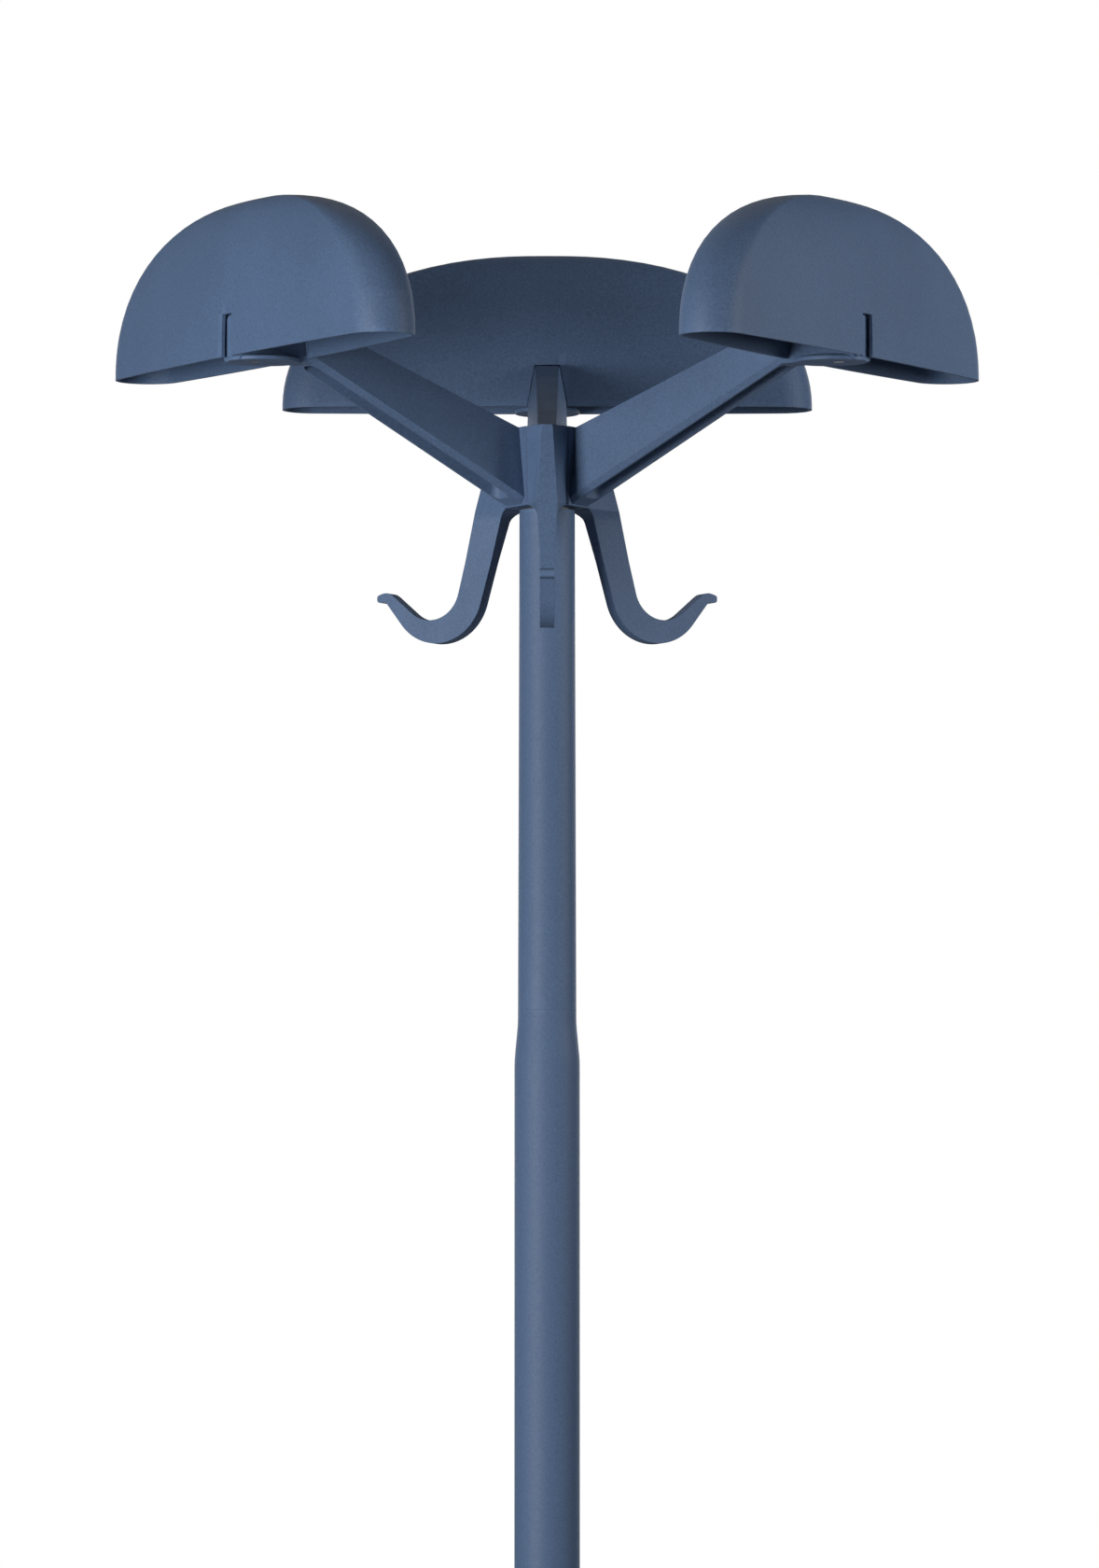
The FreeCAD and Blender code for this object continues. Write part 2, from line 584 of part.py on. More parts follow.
def hook_back(depth):
    """Radius of the hook's leaning column-side edge at a depth below the hub's top."""
    return f"(core_apothem + back_step + back_lean * ({depth} - hub_height))"


def build_hook(side, azimuth):
    """Flat J-hook whose flared root keys into the hub."""
    body = new_body("hook_" + side, azimuth)
    lofted(body, [
        plan_trapezoid(body, "hub_base", "core_apothem", hook_front("hub_height"), "root_flare_base",
                       "root_base_edge"),
        plan_trapezoid(body, "hub_top", "core_apothem", "root_reach", "root_flare_top",
                       "root_top_edge")])
    neck_depth = "hub_height + neck_drop"
    lofted(body, [
        plan_trapezoid(body, f"hub_top - ({neck_depth})", hook_back(neck_depth), hook_front(neck_depth),
                       "hook_thickness / 2", "hook_thickness / 2"),
        plan_trapezoid(body, "hub_base", hook_back("hub_height"), hook_front("hub_height"),
                       "root_base_edge", "root_base_edge")])
    start = "(hub_height + neck_drop / 2)"
    bar = new_sketch(body, "XZ")
    outline(bar, [
        (hook_back(start), f"hub_top - {start}"),
        (hook_back("bend_corner"), "hub_top - bend_corner", "bend_radius"),
        ("nose_corner", "hub_top - tip_depth - nose_height", "nose_radius"),
        ("tip_reach", "hub_top - tip_depth - nose_height", "nose_radius"),
        ("tip_reach", "hub_top - tip_depth", "nose_radius"),
        ("tip_corner", "hub_top - tip_depth", "tip_round"),
        (hook_front("throat_corner"), "hub_top - throat_corner", "throat_radius"),
        (hook_front(start), f"hub_top - {start}")])
    raised(body, bar, "hook_thickness", symmetric=True)
    key = new_sketch(body, "XY", "key_base")
    outline(key, key_corners("0", "core_apothem + overrun"))
    raised(body, key, "cap_base - key_base")


# ---------------------------------------------------------------- checks and export

def check_model():
    """Stops if any object failed or any piece is not a valid solid."""
    failed = [item.Label for item in doc.Objects if {"Invalid", "Error"} & set(item.State)]
    broken = [item.Label for item in subparts
              if item.Shape.isNull() or not item.Shape.isValid() or not item.Shape.Solids]
    if failed or broken:
        raise RuntimeError(f"failed objects {failed}, broken pieces {broken}")


def export_parts():
    """Writes one STEP file for each piece."""
    os.makedirs("parts", exist_ok=True)
    for item in subparts:
        item.Shape.exportStep(f"parts/{item.Label}.step")
        print(f"{item.Label}: {len(item.Shape.Solids)} solid(s), {item.Shape.Volume / 1000:.1f} cm3")


def main():
    """Builds every piece, checks the model and writes the parts."""
    build_foot()
    build_foot_fixing()
    build_column()
    build_swivel()
    build_hub()
    for side, azimuth in AZIMUTHS.items():
        build_arm(side, azimuth)
        build_shell(side, azimuth)
    for side, azimuth in HOOK_AZIMUTHS.items():
        build_hook(side, azimuth)
    build_shell_screws()
    doc.recompute()
    check_model()
    export_parts()


main()
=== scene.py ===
"""Looks of a coat stand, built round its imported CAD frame: foot, column, swivelling head and studio."""

import logging
import math
from dataclasses import dataclass, field
from enum import Enum
from typing import Any, Callable, Optional, Sequence, Union

import bmesh
import bpy
from mathutils import Matrix, Vector

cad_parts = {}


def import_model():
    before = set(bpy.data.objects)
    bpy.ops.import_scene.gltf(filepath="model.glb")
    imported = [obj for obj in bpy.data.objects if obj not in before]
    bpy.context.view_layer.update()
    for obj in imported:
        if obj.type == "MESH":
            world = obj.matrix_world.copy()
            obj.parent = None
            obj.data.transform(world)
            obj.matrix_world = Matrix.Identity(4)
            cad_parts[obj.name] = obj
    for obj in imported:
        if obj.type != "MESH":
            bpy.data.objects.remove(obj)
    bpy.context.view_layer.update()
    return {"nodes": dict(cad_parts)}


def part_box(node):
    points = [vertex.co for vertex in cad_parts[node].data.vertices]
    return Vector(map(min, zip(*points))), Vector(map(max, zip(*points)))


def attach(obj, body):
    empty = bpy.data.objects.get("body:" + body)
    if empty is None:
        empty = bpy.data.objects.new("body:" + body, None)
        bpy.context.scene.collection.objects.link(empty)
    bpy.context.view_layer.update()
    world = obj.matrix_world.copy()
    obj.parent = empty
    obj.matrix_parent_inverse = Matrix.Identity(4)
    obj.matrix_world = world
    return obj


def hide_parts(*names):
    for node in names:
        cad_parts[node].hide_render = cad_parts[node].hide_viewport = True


log = logging.getLogger("coat_stand")

Spot = Sequence[float]  # a place or an offset
Test = Callable[[Vector], bool]  # whether a place is wanted
MM = 0.001
HAIR = 0.02 * MM  # places closer than this count as one
FULL_TURN = 2 * math.pi
SLATE_BLUE = (0.083, 0.134, 0.236)
DUST_GREY = (0.42, 0.43, 0.44, 1.0)
RUST_BROWN = (0.12, 0.05, 0.025, 1.0)
WHITE = (1.0, 1.0, 1.0, 1.0)
BLACK = (0.0, 0.0, 0.0, 1.0)


class Pick(Enum):
    """What a selection is made of."""

    VERTEX = "VERT"
    EDGE = "EDGE"
    FACE = "FACE"


class ArmSide(Enum):
    """Azimuths of the head's arms and shells, in degrees from +X."""

    REAR = 90.0
    LEFT = 210.0
    RIGHT = 330.0


class HookSide(Enum):
    """Azimuths of the head's hooks, in degrees from +X."""

    FRONT = 270.0
    LEFT = 150.0
    RIGHT = 30.0


# ------------------------------------------------------------------ modelling in edit mode

class Workpiece:
    """One mesh on the bench, shaped in edit mode and finished with applied modifiers."""

    def __init__(self, name: str) -> None:
        """Takes the object that a primitive operator has just made and opens it for editing.

        Args:
            name: name of the object and of its mesh.
        """
        self.piece: bpy.types.Object = bpy.context.object
        self.piece.name = name
        self.piece.data.name = name
        bpy.ops.object.transform_apply(location=True, rotation=True, scale=True)
        bpy.ops.object.mode_set(mode="EDIT")

    @classmethod
    def ring(cls, name: str, sides: int, radius: float, centre: Spot) -> "Workpiece":
        """Starts from an open ring of edges in a level plane.

        Args:
            name: name of the object.
            sides: number of edges.
            radius: radius in metres.
            centre: middle of the ring.

        Returns:
            The workpiece, with its ring selected.
        """
        clear_selection()
        bpy.ops.mesh.primitive_circle_add(vertices=sides, radius=radius, fill_type="NOTHING",
                                          location=centre)
        work = cls(name)
        work.all()
        return work

    @classmethod
    def disc(cls, name: str, sides: int, radius: float, centre: Spot) -> "Workpiece":
        """Starts from a ring that is closed with one face.

        Args:
            name: name of the object.
            sides: number of edges.
            radius: radius in metres.
            centre: middle of the disc.

        Returns:
            The workpiece, with its face selected.
        """
        work = cls.ring(name, sides, radius, centre)
        work.fill()
        return work

    @classmethod
    def block(cls, name: str, low: Spot, high: Spot) -> "Workpiece":
        """Starts from a block between two corners.

        Args:
            name: name of the object.
            low: lowest corner.
            high: highest corner.

        Returns:
            The workpiece, open for editing.
        """
        clear_selection()
        lowest, highest = Vector(low), Vector(high)
        bpy.ops.mesh.primitive_cube_add(size=1, location=(lowest + highest) / 2,
                                        scale=highest - lowest)
        return cls(name)

    @classmethod
    def point(cls, name: str, spot: Spot) -> "Workpiece":
        """Starts from one vertex, ready to be drawn out into a profile.

        Args:
            name: name of the object.
            spot: place of the vertex.

        Returns:
            The workpiece, with its vertex selected.
        """
        clear_selection()
        bpy.ops.mesh.primitive_plane_add(size=MM, location=spot)
        work = cls(name)
        bpy.ops.mesh.select_all(action="SELECT")
        bpy.ops.mesh.merge(type="CENTER")
        return work

    def open_pick(self, kind: Pick) -> bmesh.types.BMesh:
        """Leaves nothing selected and sets what the next selection is made of.

        Args:
            kind: what will be selected.

        Returns:
            The mesh that is being edited.
        """
        bpy.ops.mesh.select_mode(type=kind.value)
        bpy.ops.mesh.select_all(action="DESELECT")
        return bmesh.from_edit_mesh(self.piece.data)

    def pick(self, test: Test, kind: Pick = Pick.VERTEX) -> None:
        """Selects the vertices, edges or faces whose middle passes a test.

        Args:
            test: takes a place and says whether it is wanted.
            kind: what is selected.
        """
        mesh = self.open_pick(kind)
        if kind is Pick.VERTEX:
            middles = [(item, item.co) for item in mesh.verts]
        elif kind is Pick.EDGE:
            middles = [(item, (item.verts[0].co + item.verts[1].co) / 2) for item in mesh.edges]
        else:
            middles = [(item, item.calc_center_median()) for item in mesh.faces]
        for item, middle in middles:
            if test(middle):
                item.select_set(True)
        mesh.select_flush_mode()
        bmesh.update_edit_mesh(self.piece.data)

    def pick_edges(self, test: Callable[[Vector, Vector], bool]) -> None:
        """Selects the edges whose two ends pass a test.

        Args:
            test: takes both ends of an edge.
        """
        mesh = self.open_pick(Pick.EDGE)
        for edge in mesh.edges:
            edge.select_set(test(edge.verts[0].co, edge.verts[1].co))
        bmesh.update_edit_mesh(self.piece.data)

    def pick_numbers(self, numbers: Sequence[int]) -> None:
        """Selects vertices by their numbers.

        Args:
            numbers: the vertices' numbers.
        """
        mesh = self.open_pick(Pick.VERTEX)
        mesh.verts.ensure_lookup_table()
        for number in numbers:
            mesh.verts[number].select_set(True)
        mesh.select_flush_mode()
        bmesh.update_edit_mesh(self.piece.data)

    def all(self) -> None:
        """Selects everything."""
        bpy.ops.mesh.select_mode(type="VERT")
        bpy.ops.mesh.select_all(action="SELECT")

    @staticmethod
    def extrude(offset: Spot = (0, 0, 0)) -> None:
        """Extrudes the selection by an offset."""
        bpy.ops.mesh.extrude_region_move(TRANSFORM_OT_translate={"value": tuple(offset)})

    @staticmethod
    def move(offset: Spot) -> None:
        """Moves the selection by an offset."""
        bpy.ops.transform.translate(value=tuple(offset))

    @staticmethod
    def scale(factors: Spot, about: Spot) -> None:
        """Scales the selection about a place."""
        bpy.ops.transform.resize(value=tuple(factors), center_override=tuple(about))

    @staticmethod
    def delete(kind: Pick) -> None:
        """Deletes the selected vertices, edges or faces."""
        bpy.ops.mesh.delete(type=kind.value)

    @staticmethod
    def fill() -> None:
        """Closes the selected ring of edges with one face."""
        bpy.ops.mesh.edge_face_add()

    @staticmethod
    def bevel(width: float, segments: int) -> None:
        """Bevels the selected edges, with one segment for a chamfer."""
        bpy.ops.mesh.bevel(offset=width, offset_type="OFFSET", segments=segments, affect="EDGES")

    def set_pair(self, test: Test, half: float, along: float, level: float) -> None:
        """Moves a pair of vertices, one each side of the middle plane, to an exact place.

        Args:
            test: picks the pair.
            half: wanted distance of each from the middle plane.
            along: wanted X of both.
            level: wanted Z of both.
        """
        self.pick(test)
        spots = self.selected_spots()
        now = max(abs(spot.y) for spot in spots)
        self.scale((1, half / now, 1), (spots[0].x, 0, spots[0].z))
        self.move((along - spots[0].x, 0, level - spots[0].z))

    def line_to(self, x: float, z: float) -> None:
        """Draws the selected end vertex out in a straight edge, in the upright middle plane.

        Args:
            x: distance from the column's axis.
            z: height.
        """
        here = self.selected_spots()[0]
        self.extrude((x - here.x, 0, z - here.z))

    def arc_to(self, x: float, z: float, centre: Spot, steps: int) -> None:
        """Spins the selected end vertex round a centre, in the upright middle plane.

        Args:
            x: distance from the column's axis where the arc ends.
            z: height where it ends.
            centre: the arc's centre, as (x, z).
            steps: number of edges in the arc.
        """
        here = self.selected_spots()[0]
        start = math.atan2(here.z - centre[1], here.x - centre[0])
        finish = math.atan2(z - centre[1], x - centre[0])
        turn = (finish - start + math.pi) % FULL_TURN - math.pi
        bpy.ops.mesh.spin(steps=steps, angle=turn, center=(centre[0], here.y, centre[1]),
                          axis=(0, 1, 0))

    def selected_spots(self) -> list[Vector]:
        """Places of the selected vertices."""
        mesh = bmesh.from_edit_mesh(self.piece.data)
        return [item.co.copy() for item in mesh.verts if item.select]

    def merge(self, reach: float = HAIR) -> None:
        """Merges vertices that lie within a reach of each other.

        Args:
            reach: merging distance.
        """
        self.all()
        bpy.ops.mesh.remove_doubles(threshold=reach)

    def face_outwards(self) -> None:
        """Turns all faces to look outwards."""
        self.all()
        bpy.ops.mesh.normals_make_consistent(inside=False)

    def close(self) -> bpy.types.Object:
        """Leaves edit mode.

        Returns:
            The object.
        """
        bpy.ops.mesh.select_all(action="DESELECT")
        bpy.ops.object.mode_set(mode="OBJECT")
        return self.piece


def clear_selection() -> None:
    """Leaves nothing selected."""
    if bpy.context.object and bpy.context.object.mode != "OBJECT":
        bpy.ops.object.mode_set(mode="OBJECT")
    bpy.ops.object.select_all(action="DESELECT")


def choose(*pieces: bpy.types.Object) -> None:
    """Selects just these objects and makes the first one active.

    Args:
        pieces: objects to select.
    """
    clear_selection()
    for piece in pieces:
        piece.select_set(True)
    bpy.context.view_layer.objects.active = pieces[0]


def modify(piece: bpy.types.Object, kind: str, **settings: Any) -> None:
    """Adds a modifier and applies it.

    Args:
        piece: the object.
        kind: the modifier's type.
        settings: its properties.
    """
    choose(piece)
    modifier = piece.modifiers.new(kind.lower(), kind)
    for name, setting in settings.items():
        setattr(modifier, name, setting)
    bpy.ops.object.modifier_apply(modifier=modifier.name)


def round_edges(piece: bpy.types.Object, width: float, segments: int = 3,
                from_angle: float = 32.0) -> None:
    """Rounds every edge that is sharper than an angle.

    Args:
        piece: the object.
        width: width of the rounding.
        segments: number of faces across it.
        from_angle: smallest angle that is rounded, in degrees.
    """
    modify(piece, "BEVEL", width=width, segments=segments, limit_method="ANGLE",
           angle_limit=math.radians(from_angle), miter_outer="MITER_ARC")


def cut_away(piece: bpy.types.Object, cutter: bpy.types.Object) -> None:
    """Cuts one closed piece out of another and removes the cutter.

    Args:
        piece: the object that is cut.
        cutter: the shape that is taken away.
    """
    modify(piece, "BOOLEAN", operation="DIFFERENCE", object=cutter, solver="EXACT")
    bpy.data.objects.remove(cutter)


def join(pieces: Sequence[bpy.types.Object]) -> bpy.types.Object:
    """Joins objects into the first one.

    Args:
        pieces: objects to join.

    Returns:
        The joined object.
    """
    choose(*pieces)
    bpy.ops.object.join()
    return bpy.context.object


def smooth(piece: bpy.types.Object, angle: float = 40.0) -> None:
    """Shades an object smooth, with sharp edges kept from an angle up.

    Args:
        piece: the object.
        angle: the angle in degrees.
    """
    choose(piece)
    bpy.ops.object.shade_smooth_by_angle(angle=math.radians(angle))
    modify(piece, "WEIGHTED_NORMAL", keep_sharp=True)


def turned_copy(piece: bpy.types.Object, name: str, azimuth: float) -> bpy.types.Object:
    """Copies a finished piece with its own mesh and turns the copy about the column's axis.

    Args:
        piece: the piece that points along +X.
        name: name of the copy.
        azimuth: turn in degrees.

    Returns:
        The copy, with its place in its mesh.
    """
    copy = piece.copy()
    copy.data = piece.data.copy()
    copy.name = copy.data.name = name
    bpy.context.scene.collection.objects.link(copy)
    copy.matrix_world = Matrix.Rotation(math.radians(azimuth), 4, "Z")
    choose(copy)
    bpy.ops.object.transform_apply(location=True, rotation=True, scale=True)
    return copy


# ------------------------------------------------------------------ shader boards

Value = Union["Wire", float]


class Wire:
    """A number in a material: arithmetic on it adds the Math nodes that work it out."""

    def __init__(self, board: "Board", socket: bpy.types.NodeSocket) -> None:
        """Wraps an output socket of a board's node."""
        self.board = board
        self.socket = socket

    def _math(self, operation: str, left: Value, right: Value) -> "Wire":
        """Adds one Math node for two values."""
        node = self.board.node("ShaderNodeMath", {"operation": operation}, {0: left, 1: right})
        return Wire(self.board, node.outputs[0])

    def __add__(self, other: Value) -> "Wire":
        """Sum."""
        return self._math("ADD", self, other)

    def __mul__(self, other: Value) -> "Wire":
        """Product."""
        return self._math("MULTIPLY", self, other)

    def __sub__(self, other: Value) -> "Wire":
        """Difference."""
        return self._math("SUBTRACT", self, other)

    def __pow__(self, other: Value) -> "Wire":
        """Power."""
        return self._math("POWER", self, other)

    def over(self, edge: float) -> "Wire":
        """The part of the value above an edge, never below nought."""
        return self._math("MAXIMUM", self - edge, 0.0)


class Board:
    """The node tree of one material."""

    def __init__(self, name: str) -> None:
        """Makes an empty material with a Principled shader.

        Args:
            name: name of the material.
        """
        self.material = bpy.data.materials.new(name)
        self.material.use_nodes = True
        self.tree = self.material.node_tree
        self.shader = self.tree.nodes["Principled BSDF"]
        self.coordinates = self.node("ShaderNodeTexCoord", {}, {}).outputs["Object"]

    def node(self, kind: str, settings: dict[str, Any],
             inputs: dict[Union[str, int], Any]) -> bpy.types.Node:
        """Adds a node.

        Args:
            kind: the node's type.
            settings: its own properties; "stops" gives a ramp's (place, brightness) pairs.
            inputs: values, wires or sockets of its inputs, by name or number.

        Returns:
            The node.
        """
        made = self.tree.nodes.new(kind)
        for name, setting in settings.items():
            if name == "stops":
                self._set_stops(made, setting)
            else:
                setattr(made, name, setting)
        for name, given in inputs.items():
            self.feed(made.inputs[name], given)
        return made

    @staticmethod
    def _set_stops(ramp: bpy.types.Node, stops: Sequence[tuple[float, float]]) -> None:
        """Sets a ramp's stops, from dark to light.

        Args:
            ramp: the Color Ramp node.
            stops: pairs of place and brightness.
        """
        elements = ramp.color_ramp.elements
        while len(elements) < len(stops):
            elements.new(1.0)
        for element, (place, light) in zip(elements, stops):
            element.position = place
            element.color = (light, light, light, 1)

    def feed(self, socket: bpy.types.NodeSocket, given: Any) -> None:
        """Gives an input socket a value or a link.

        Args:
            socket: the input.
            given: a number, a colour, a wire or an output socket.
        """
        if isinstance(given, Wire):
            given = given.socket
        if isinstance(given, bpy.types.NodeSocket):
            self.tree.links.new(given, socket)
        else:
            socket.default_value = given

    def noise(self, scale: float, detail: float = 2.0, stretch: Spot = (1, 1, 1),
              roughness: float = 0.5) -> Wire:
        """Noise on the piece's own coordinates, about a half on average.

        Args:
            scale: waves to the metre.
            detail: number of finer layers.
            stretch: scale along each axis.
            roughness: weight of the finer layers.

        Returns:
            The noise's value.
        """
        spread = self.node("ShaderNodeMapping", {}, {
            "Vector": self.coordinates, "Scale": tuple(stretch)})
        made = self.node("ShaderNodeTexNoise", {}, {
            "Vector": spread.outputs[0], "Scale": scale, "Detail": detail, "Roughness": roughness})
        return Wire(self, made.outputs[0])

    def cells(self, scale: float) -> Wire:
        """Distance to the nearest of many scattered points.

        Args:
            scale: points to the metre.

        Returns:
            The distance.
        """
        made = self.node("ShaderNodeTexVoronoi", {}, {"Vector": self.coordinates, "Scale": scale})
        return Wire(self, made.outputs["Distance"])

    def ramp(self, value: Value, stops: Sequence[tuple[float, float]]) -> Wire:
        """Maps a value through a ramp.

        Args:
            value: what is mapped.
            stops: pairs of place and brightness.

        Returns:
            The ramp's brightness.
        """
        made = self.node("ShaderNodeValToRGB", {"stops": stops}, {0: value})
        return Wire(self, made.outputs[0])

    def blend(self, share: Value, first: Any, second: Any) -> bpy.types.NodeSocket:
        """Mixes two colours.

        Args:
            share: share of the second.
            first: a colour or a socket.
            second: a colour or a socket.

        Returns:
            The mixed colour.
        """
        made = self.node("ShaderNodeMix", {"data_type": "RGBA"}, {0: share})
        self.feed(made.inputs[6], first)
        self.feed(made.inputs[7], second)
        return made.outputs[2]

    def paint(self, colour: bpy.types.NodeSocket, roughness: Wire) -> None:
        """Feeds the shader's colour and roughness."""
        self.feed(self.shader.inputs["Base Color"], colour)
        self.feed(self.shader.inputs["Roughness"], roughness)

    def upward(self) -> Wire:
        """Measures how far the surface looks up.

        Returns:
            The measure, from nought to one.
        """
        normal = self.node("ShaderNodeNewGeometry", {}, {}).outputs["Normal"]
        parts = self.node("ShaderNodeSeparateXYZ", {}, {0: normal})
        return Wire(self, parts.outputs["Z"]).over(0.0)

    def edges(self, low: float = 0.515, high: float = 0.56) -> Wire:
        """Mask of the worn outer edges.

        Args:
            low: pointiness where wear begins.
            high: pointiness where it is full.

        Returns:
            The mask.
        """
        pointiness = self.node("ShaderNodeNewGeometry", {}, {}).outputs["Pointiness"]
        return self.ramp(Wire(self, pointiness), [(low, 0.0), (high, 1.0)])

    def relief(self, *layers: tuple[Value, float, float]) -> None:
        """Feeds the shader's normal with bumps, one on another.

        Args:
            layers: each a height, a strength and a depth in metres.
        """
        normal: Optional[bpy.types.NodeSocket] = None
        for height, strength, depth in layers:
            inputs: dict[Union[str, int], Any] = {
                "Height": height, "Strength": strength, "Distance": depth}
            if normal is not None:
                inputs["Normal"] = normal
            normal = self.node("ShaderNodeBump", {}, inputs).outputs[0]
        self.feed(self.shader.inputs["Normal"], normal)


def tint(colour: Spot, factor: float) -> tuple[float, float, float, float]:
    """A colour made lighter or darker.

    Args:
        colour: red, green and blue.
        factor: multiplier.

    Returns:
        The colour with full alpha.
    """
    return (colour[0] * factor, colour[1] * factor, colour[2] * factor, 1.0)


# ------------------------------------------------------------------ finishes

@dataclass(frozen=True)
class Ageing:
    """Dust that settles on whatever looks up, and edges that use has rubbed lighter and smoother."""

    dust_scale: float
    dust_from: float
    dust_share: float
    dust_dulling: float
    wear_scale: float
    wear_stops: tuple[tuple[float, float], ...]
    wear_share: float
    wear_tint: float
    wear_polish: float
    dust_range: float = 0.4
    dust_steepness: float = 3.0

    def paint(self, board: Board, colour: bpy.types.NodeSocket, shine: Wire, new: Spot,
              worn_edges: bool) -> None:
        """Ages a colour and a roughness and feeds them to the shader.

        Args:
            board: the material's board.
            colour: the colour before ageing.
            shine: the roughness before ageing.
            new: the plain colour that the rubbed edges are a tint of.
            worn_edges: whether the edges are rubbed.
        """
        patches = board.ramp(board.noise(self.dust_scale, detail=5.0), [
            (self.dust_from, 0.0), (self.dust_from + self.dust_range, 1.0)])
        dust = board.upward() ** self.dust_steepness * patches
        colour = board.blend(dust * self.dust_share, colour, DUST_GREY)
        shine = shine + dust * self.dust_dulling
        if worn_edges:
            wear = board.edges() * board.ramp(board.noise(self.wear_scale, detail=4.0), self.wear_stops)
            colour = board.blend(wear * self.wear_share, colour, tint(new, self.wear_tint))
            shine = shine - wear * self.wear_polish
        board.paint(colour, shine)


@dataclass(frozen=True)
class MouldedPlastic:
    """Slate-blue moulded plastic with a fine spark-eroded grain."""

    name: str = "moulded_plastic"
    colour: tuple[float, float, float] = SLATE_BLUE
    roughness: float = 0.49
    specular: float = 0.26
    grain: float = 1150.0
    grain_depth: float = 0.22 * MM
    tints: tuple[float, float] = (0.84, 1.15)
    worn_edges: bool = True
    ageing: Ageing = Ageing(
        dust_scale=90.0, dust_from=0.35, dust_share=0.04, dust_dulling=0.12, wear_scale=60.0,
        wear_stops=((0.35, 0.15), (0.7, 1.0)), wear_share=0.28, wear_tint=1.75, wear_polish=0.1)

    def material(self) -> bpy.types.Material:
        """Builds the material.

        Returns:
            The material.
        """
        board = Board(self.name)
        cloud = board.noise(7.0, detail=3.0)
        flow = board.noise(26.0, detail=4.0, stretch=(1.0, 1.0, 0.35))
        grain = board.noise(self.grain, detail=2.0, roughness=0.65)
        speck = board.noise(self.grain * 0.55, detail=1.0)
        tone = cloud * 0.3 + flow * 0.12 + speck * 0.58
        colour = board.blend(board.ramp(tone, [(0.34, 0.0), (0.66, 1.0)]),
                             *(tint(self.colour, factor) for factor in self.tints))
        shine = flow * 0.1 + speck * 0.08 + self.roughness
        self.ageing.paint(board, colour, shine, self.colour, self.worn_edges)
        board.shader.inputs["Specular IOR Level"].default_value = self.specular
        board.relief((grain, 0.32, self.grain_depth), (flow, 0.08, 0.8 * MM))
        return board.material


@dataclass(frozen=True)
class PowderCoat:
    """Slate-blue powder coat on steel, with its slight orange peel."""

    name: str = "powder_coat"
    colour: tuple[float, float, float] = SLATE_BLUE
    roughness: float = 0.45
    specular: float = 0.26
    peel: float = 330.0
    tints: tuple[float, float] = (0.83, 1.16)
    ageing: Ageing = Ageing(
        dust_scale=70.0, dust_from=0.4, dust_share=0.12, dust_dulling=0.15, wear_scale=75.0,
        wear_stops=((0.4, 0.0), (0.75, 1.0)), wear_share=0.25, wear_tint=1.8, wear_polish=0.08)

    def material(self) -> bpy.types.Material:
        """Builds the material.

        Returns:
            The material.
        """
        board = Board(self.name)
        cloud = board.noise(5.0, detail=3.0, stretch=(1.0, 1.0, 0.4))
        peel = board.noise(self.peel, detail=2.0)
        fleck = board.noise(690.0, detail=2.0)
        tone = cloud * 0.38 + fleck * 0.62
        colour = board.blend(board.ramp(tone, [(0.3, 0.0), (0.7, 1.0)]),
                             *(tint(self.colour, factor) for factor in self.tints))
        shine = peel * 0.12 + cloud * 0.08 + self.roughness
        self.ageing.paint(board, colour, shine, self.colour, True)
        board.shader.inputs["Specular IOR Level"].default_value = self.specular
        board.relief((peel, 0.16, 0.6 * MM), (fleck, 0.2, 0.12 * MM))
        return board.material


@dataclass(frozen=True)
class Rubber:
    """Matt black rubber with a dusty bloom."""

    name: str = "floor_rubber"
    colour: tuple[float, float, float] = (0.022, 0.022, 0.023)

    def material(self) -> bpy.types.Material:
        """Builds the material.

        Returns:
            The material.
        """
        board = Board(self.name)
        bloom = board.noise(38.0, detail=6.0)
        grain = board.noise(1500.0, detail=2.0)
        colour = board.blend(board.ramp(bloom, [(0.35, 0.0), (0.7, 1.0)]), tint(self.colour, 0.8),
                             tint(self.colour, 1.9))
        board.paint(colour, bloom * 0.2 + grain * 0.1 + 0.66)
        board.relief((grain, 0.35, 0.2 * MM))
        return board.material


@dataclass(frozen=True)
class CastIron:
    """Cast iron under a thin black primer, with the pits of the sand."""

    name: str = "cast_iron"
    colour: tuple[float, float, float] = (0.042, 0.043, 0.046)

    def material(self) -> bpy.types.Material:
        """Builds the material.

        Returns:
            The material.
        """
        board = Board(self.name)
        sand = board.noise(420.0, detail=6.0, roughness=0.7)
        pits = board.cells(190.0)
        rust = board.ramp(board.noise(24.0, detail=7.0), [(0.56, 0.0), (0.7, 1.0)])
        colour = board.blend(sand, tint(self.colour, 0.7), tint(self.colour, 1.5))
        colour = board.blend(rust * 0.35, colour, RUST_BROWN)
        board.paint(colour, sand * 0.25 + rust * 0.15 + 0.5)
        board.relief((sand, 0.5, 0.5 * MM), (pits, 0.25, 0.8 * MM))
        return board.material


@dataclass(frozen=True)
class ZincPlate:
    """Bright zinc plate with the faint lines of turning."""

    name: str = "zinc_plate"
    colour: tuple[float, float, float] = (0.56, 0.57, 0.59)

    def material(self) -> bpy.types.Material:
        """Builds the material.

        Returns:
            The material.
        """
        board = Board(self.name)
        lines = board.noise(260.0, detail=3.0, stretch=(1.0, 1.0, 14.0))
        cloud = board.noise(55.0, detail=5.0)
        colour = board.blend(cloud, tint(self.colour, 0.78), tint(self.colour, 1.15))
        board.paint(colour, lines * 0.16 + cloud * 0.18 + 0.2)
        board.shader.inputs["Metallic"].default_value = 1.0
        board.relief((lines, 0.12, 0.2 * MM))
        return board.material


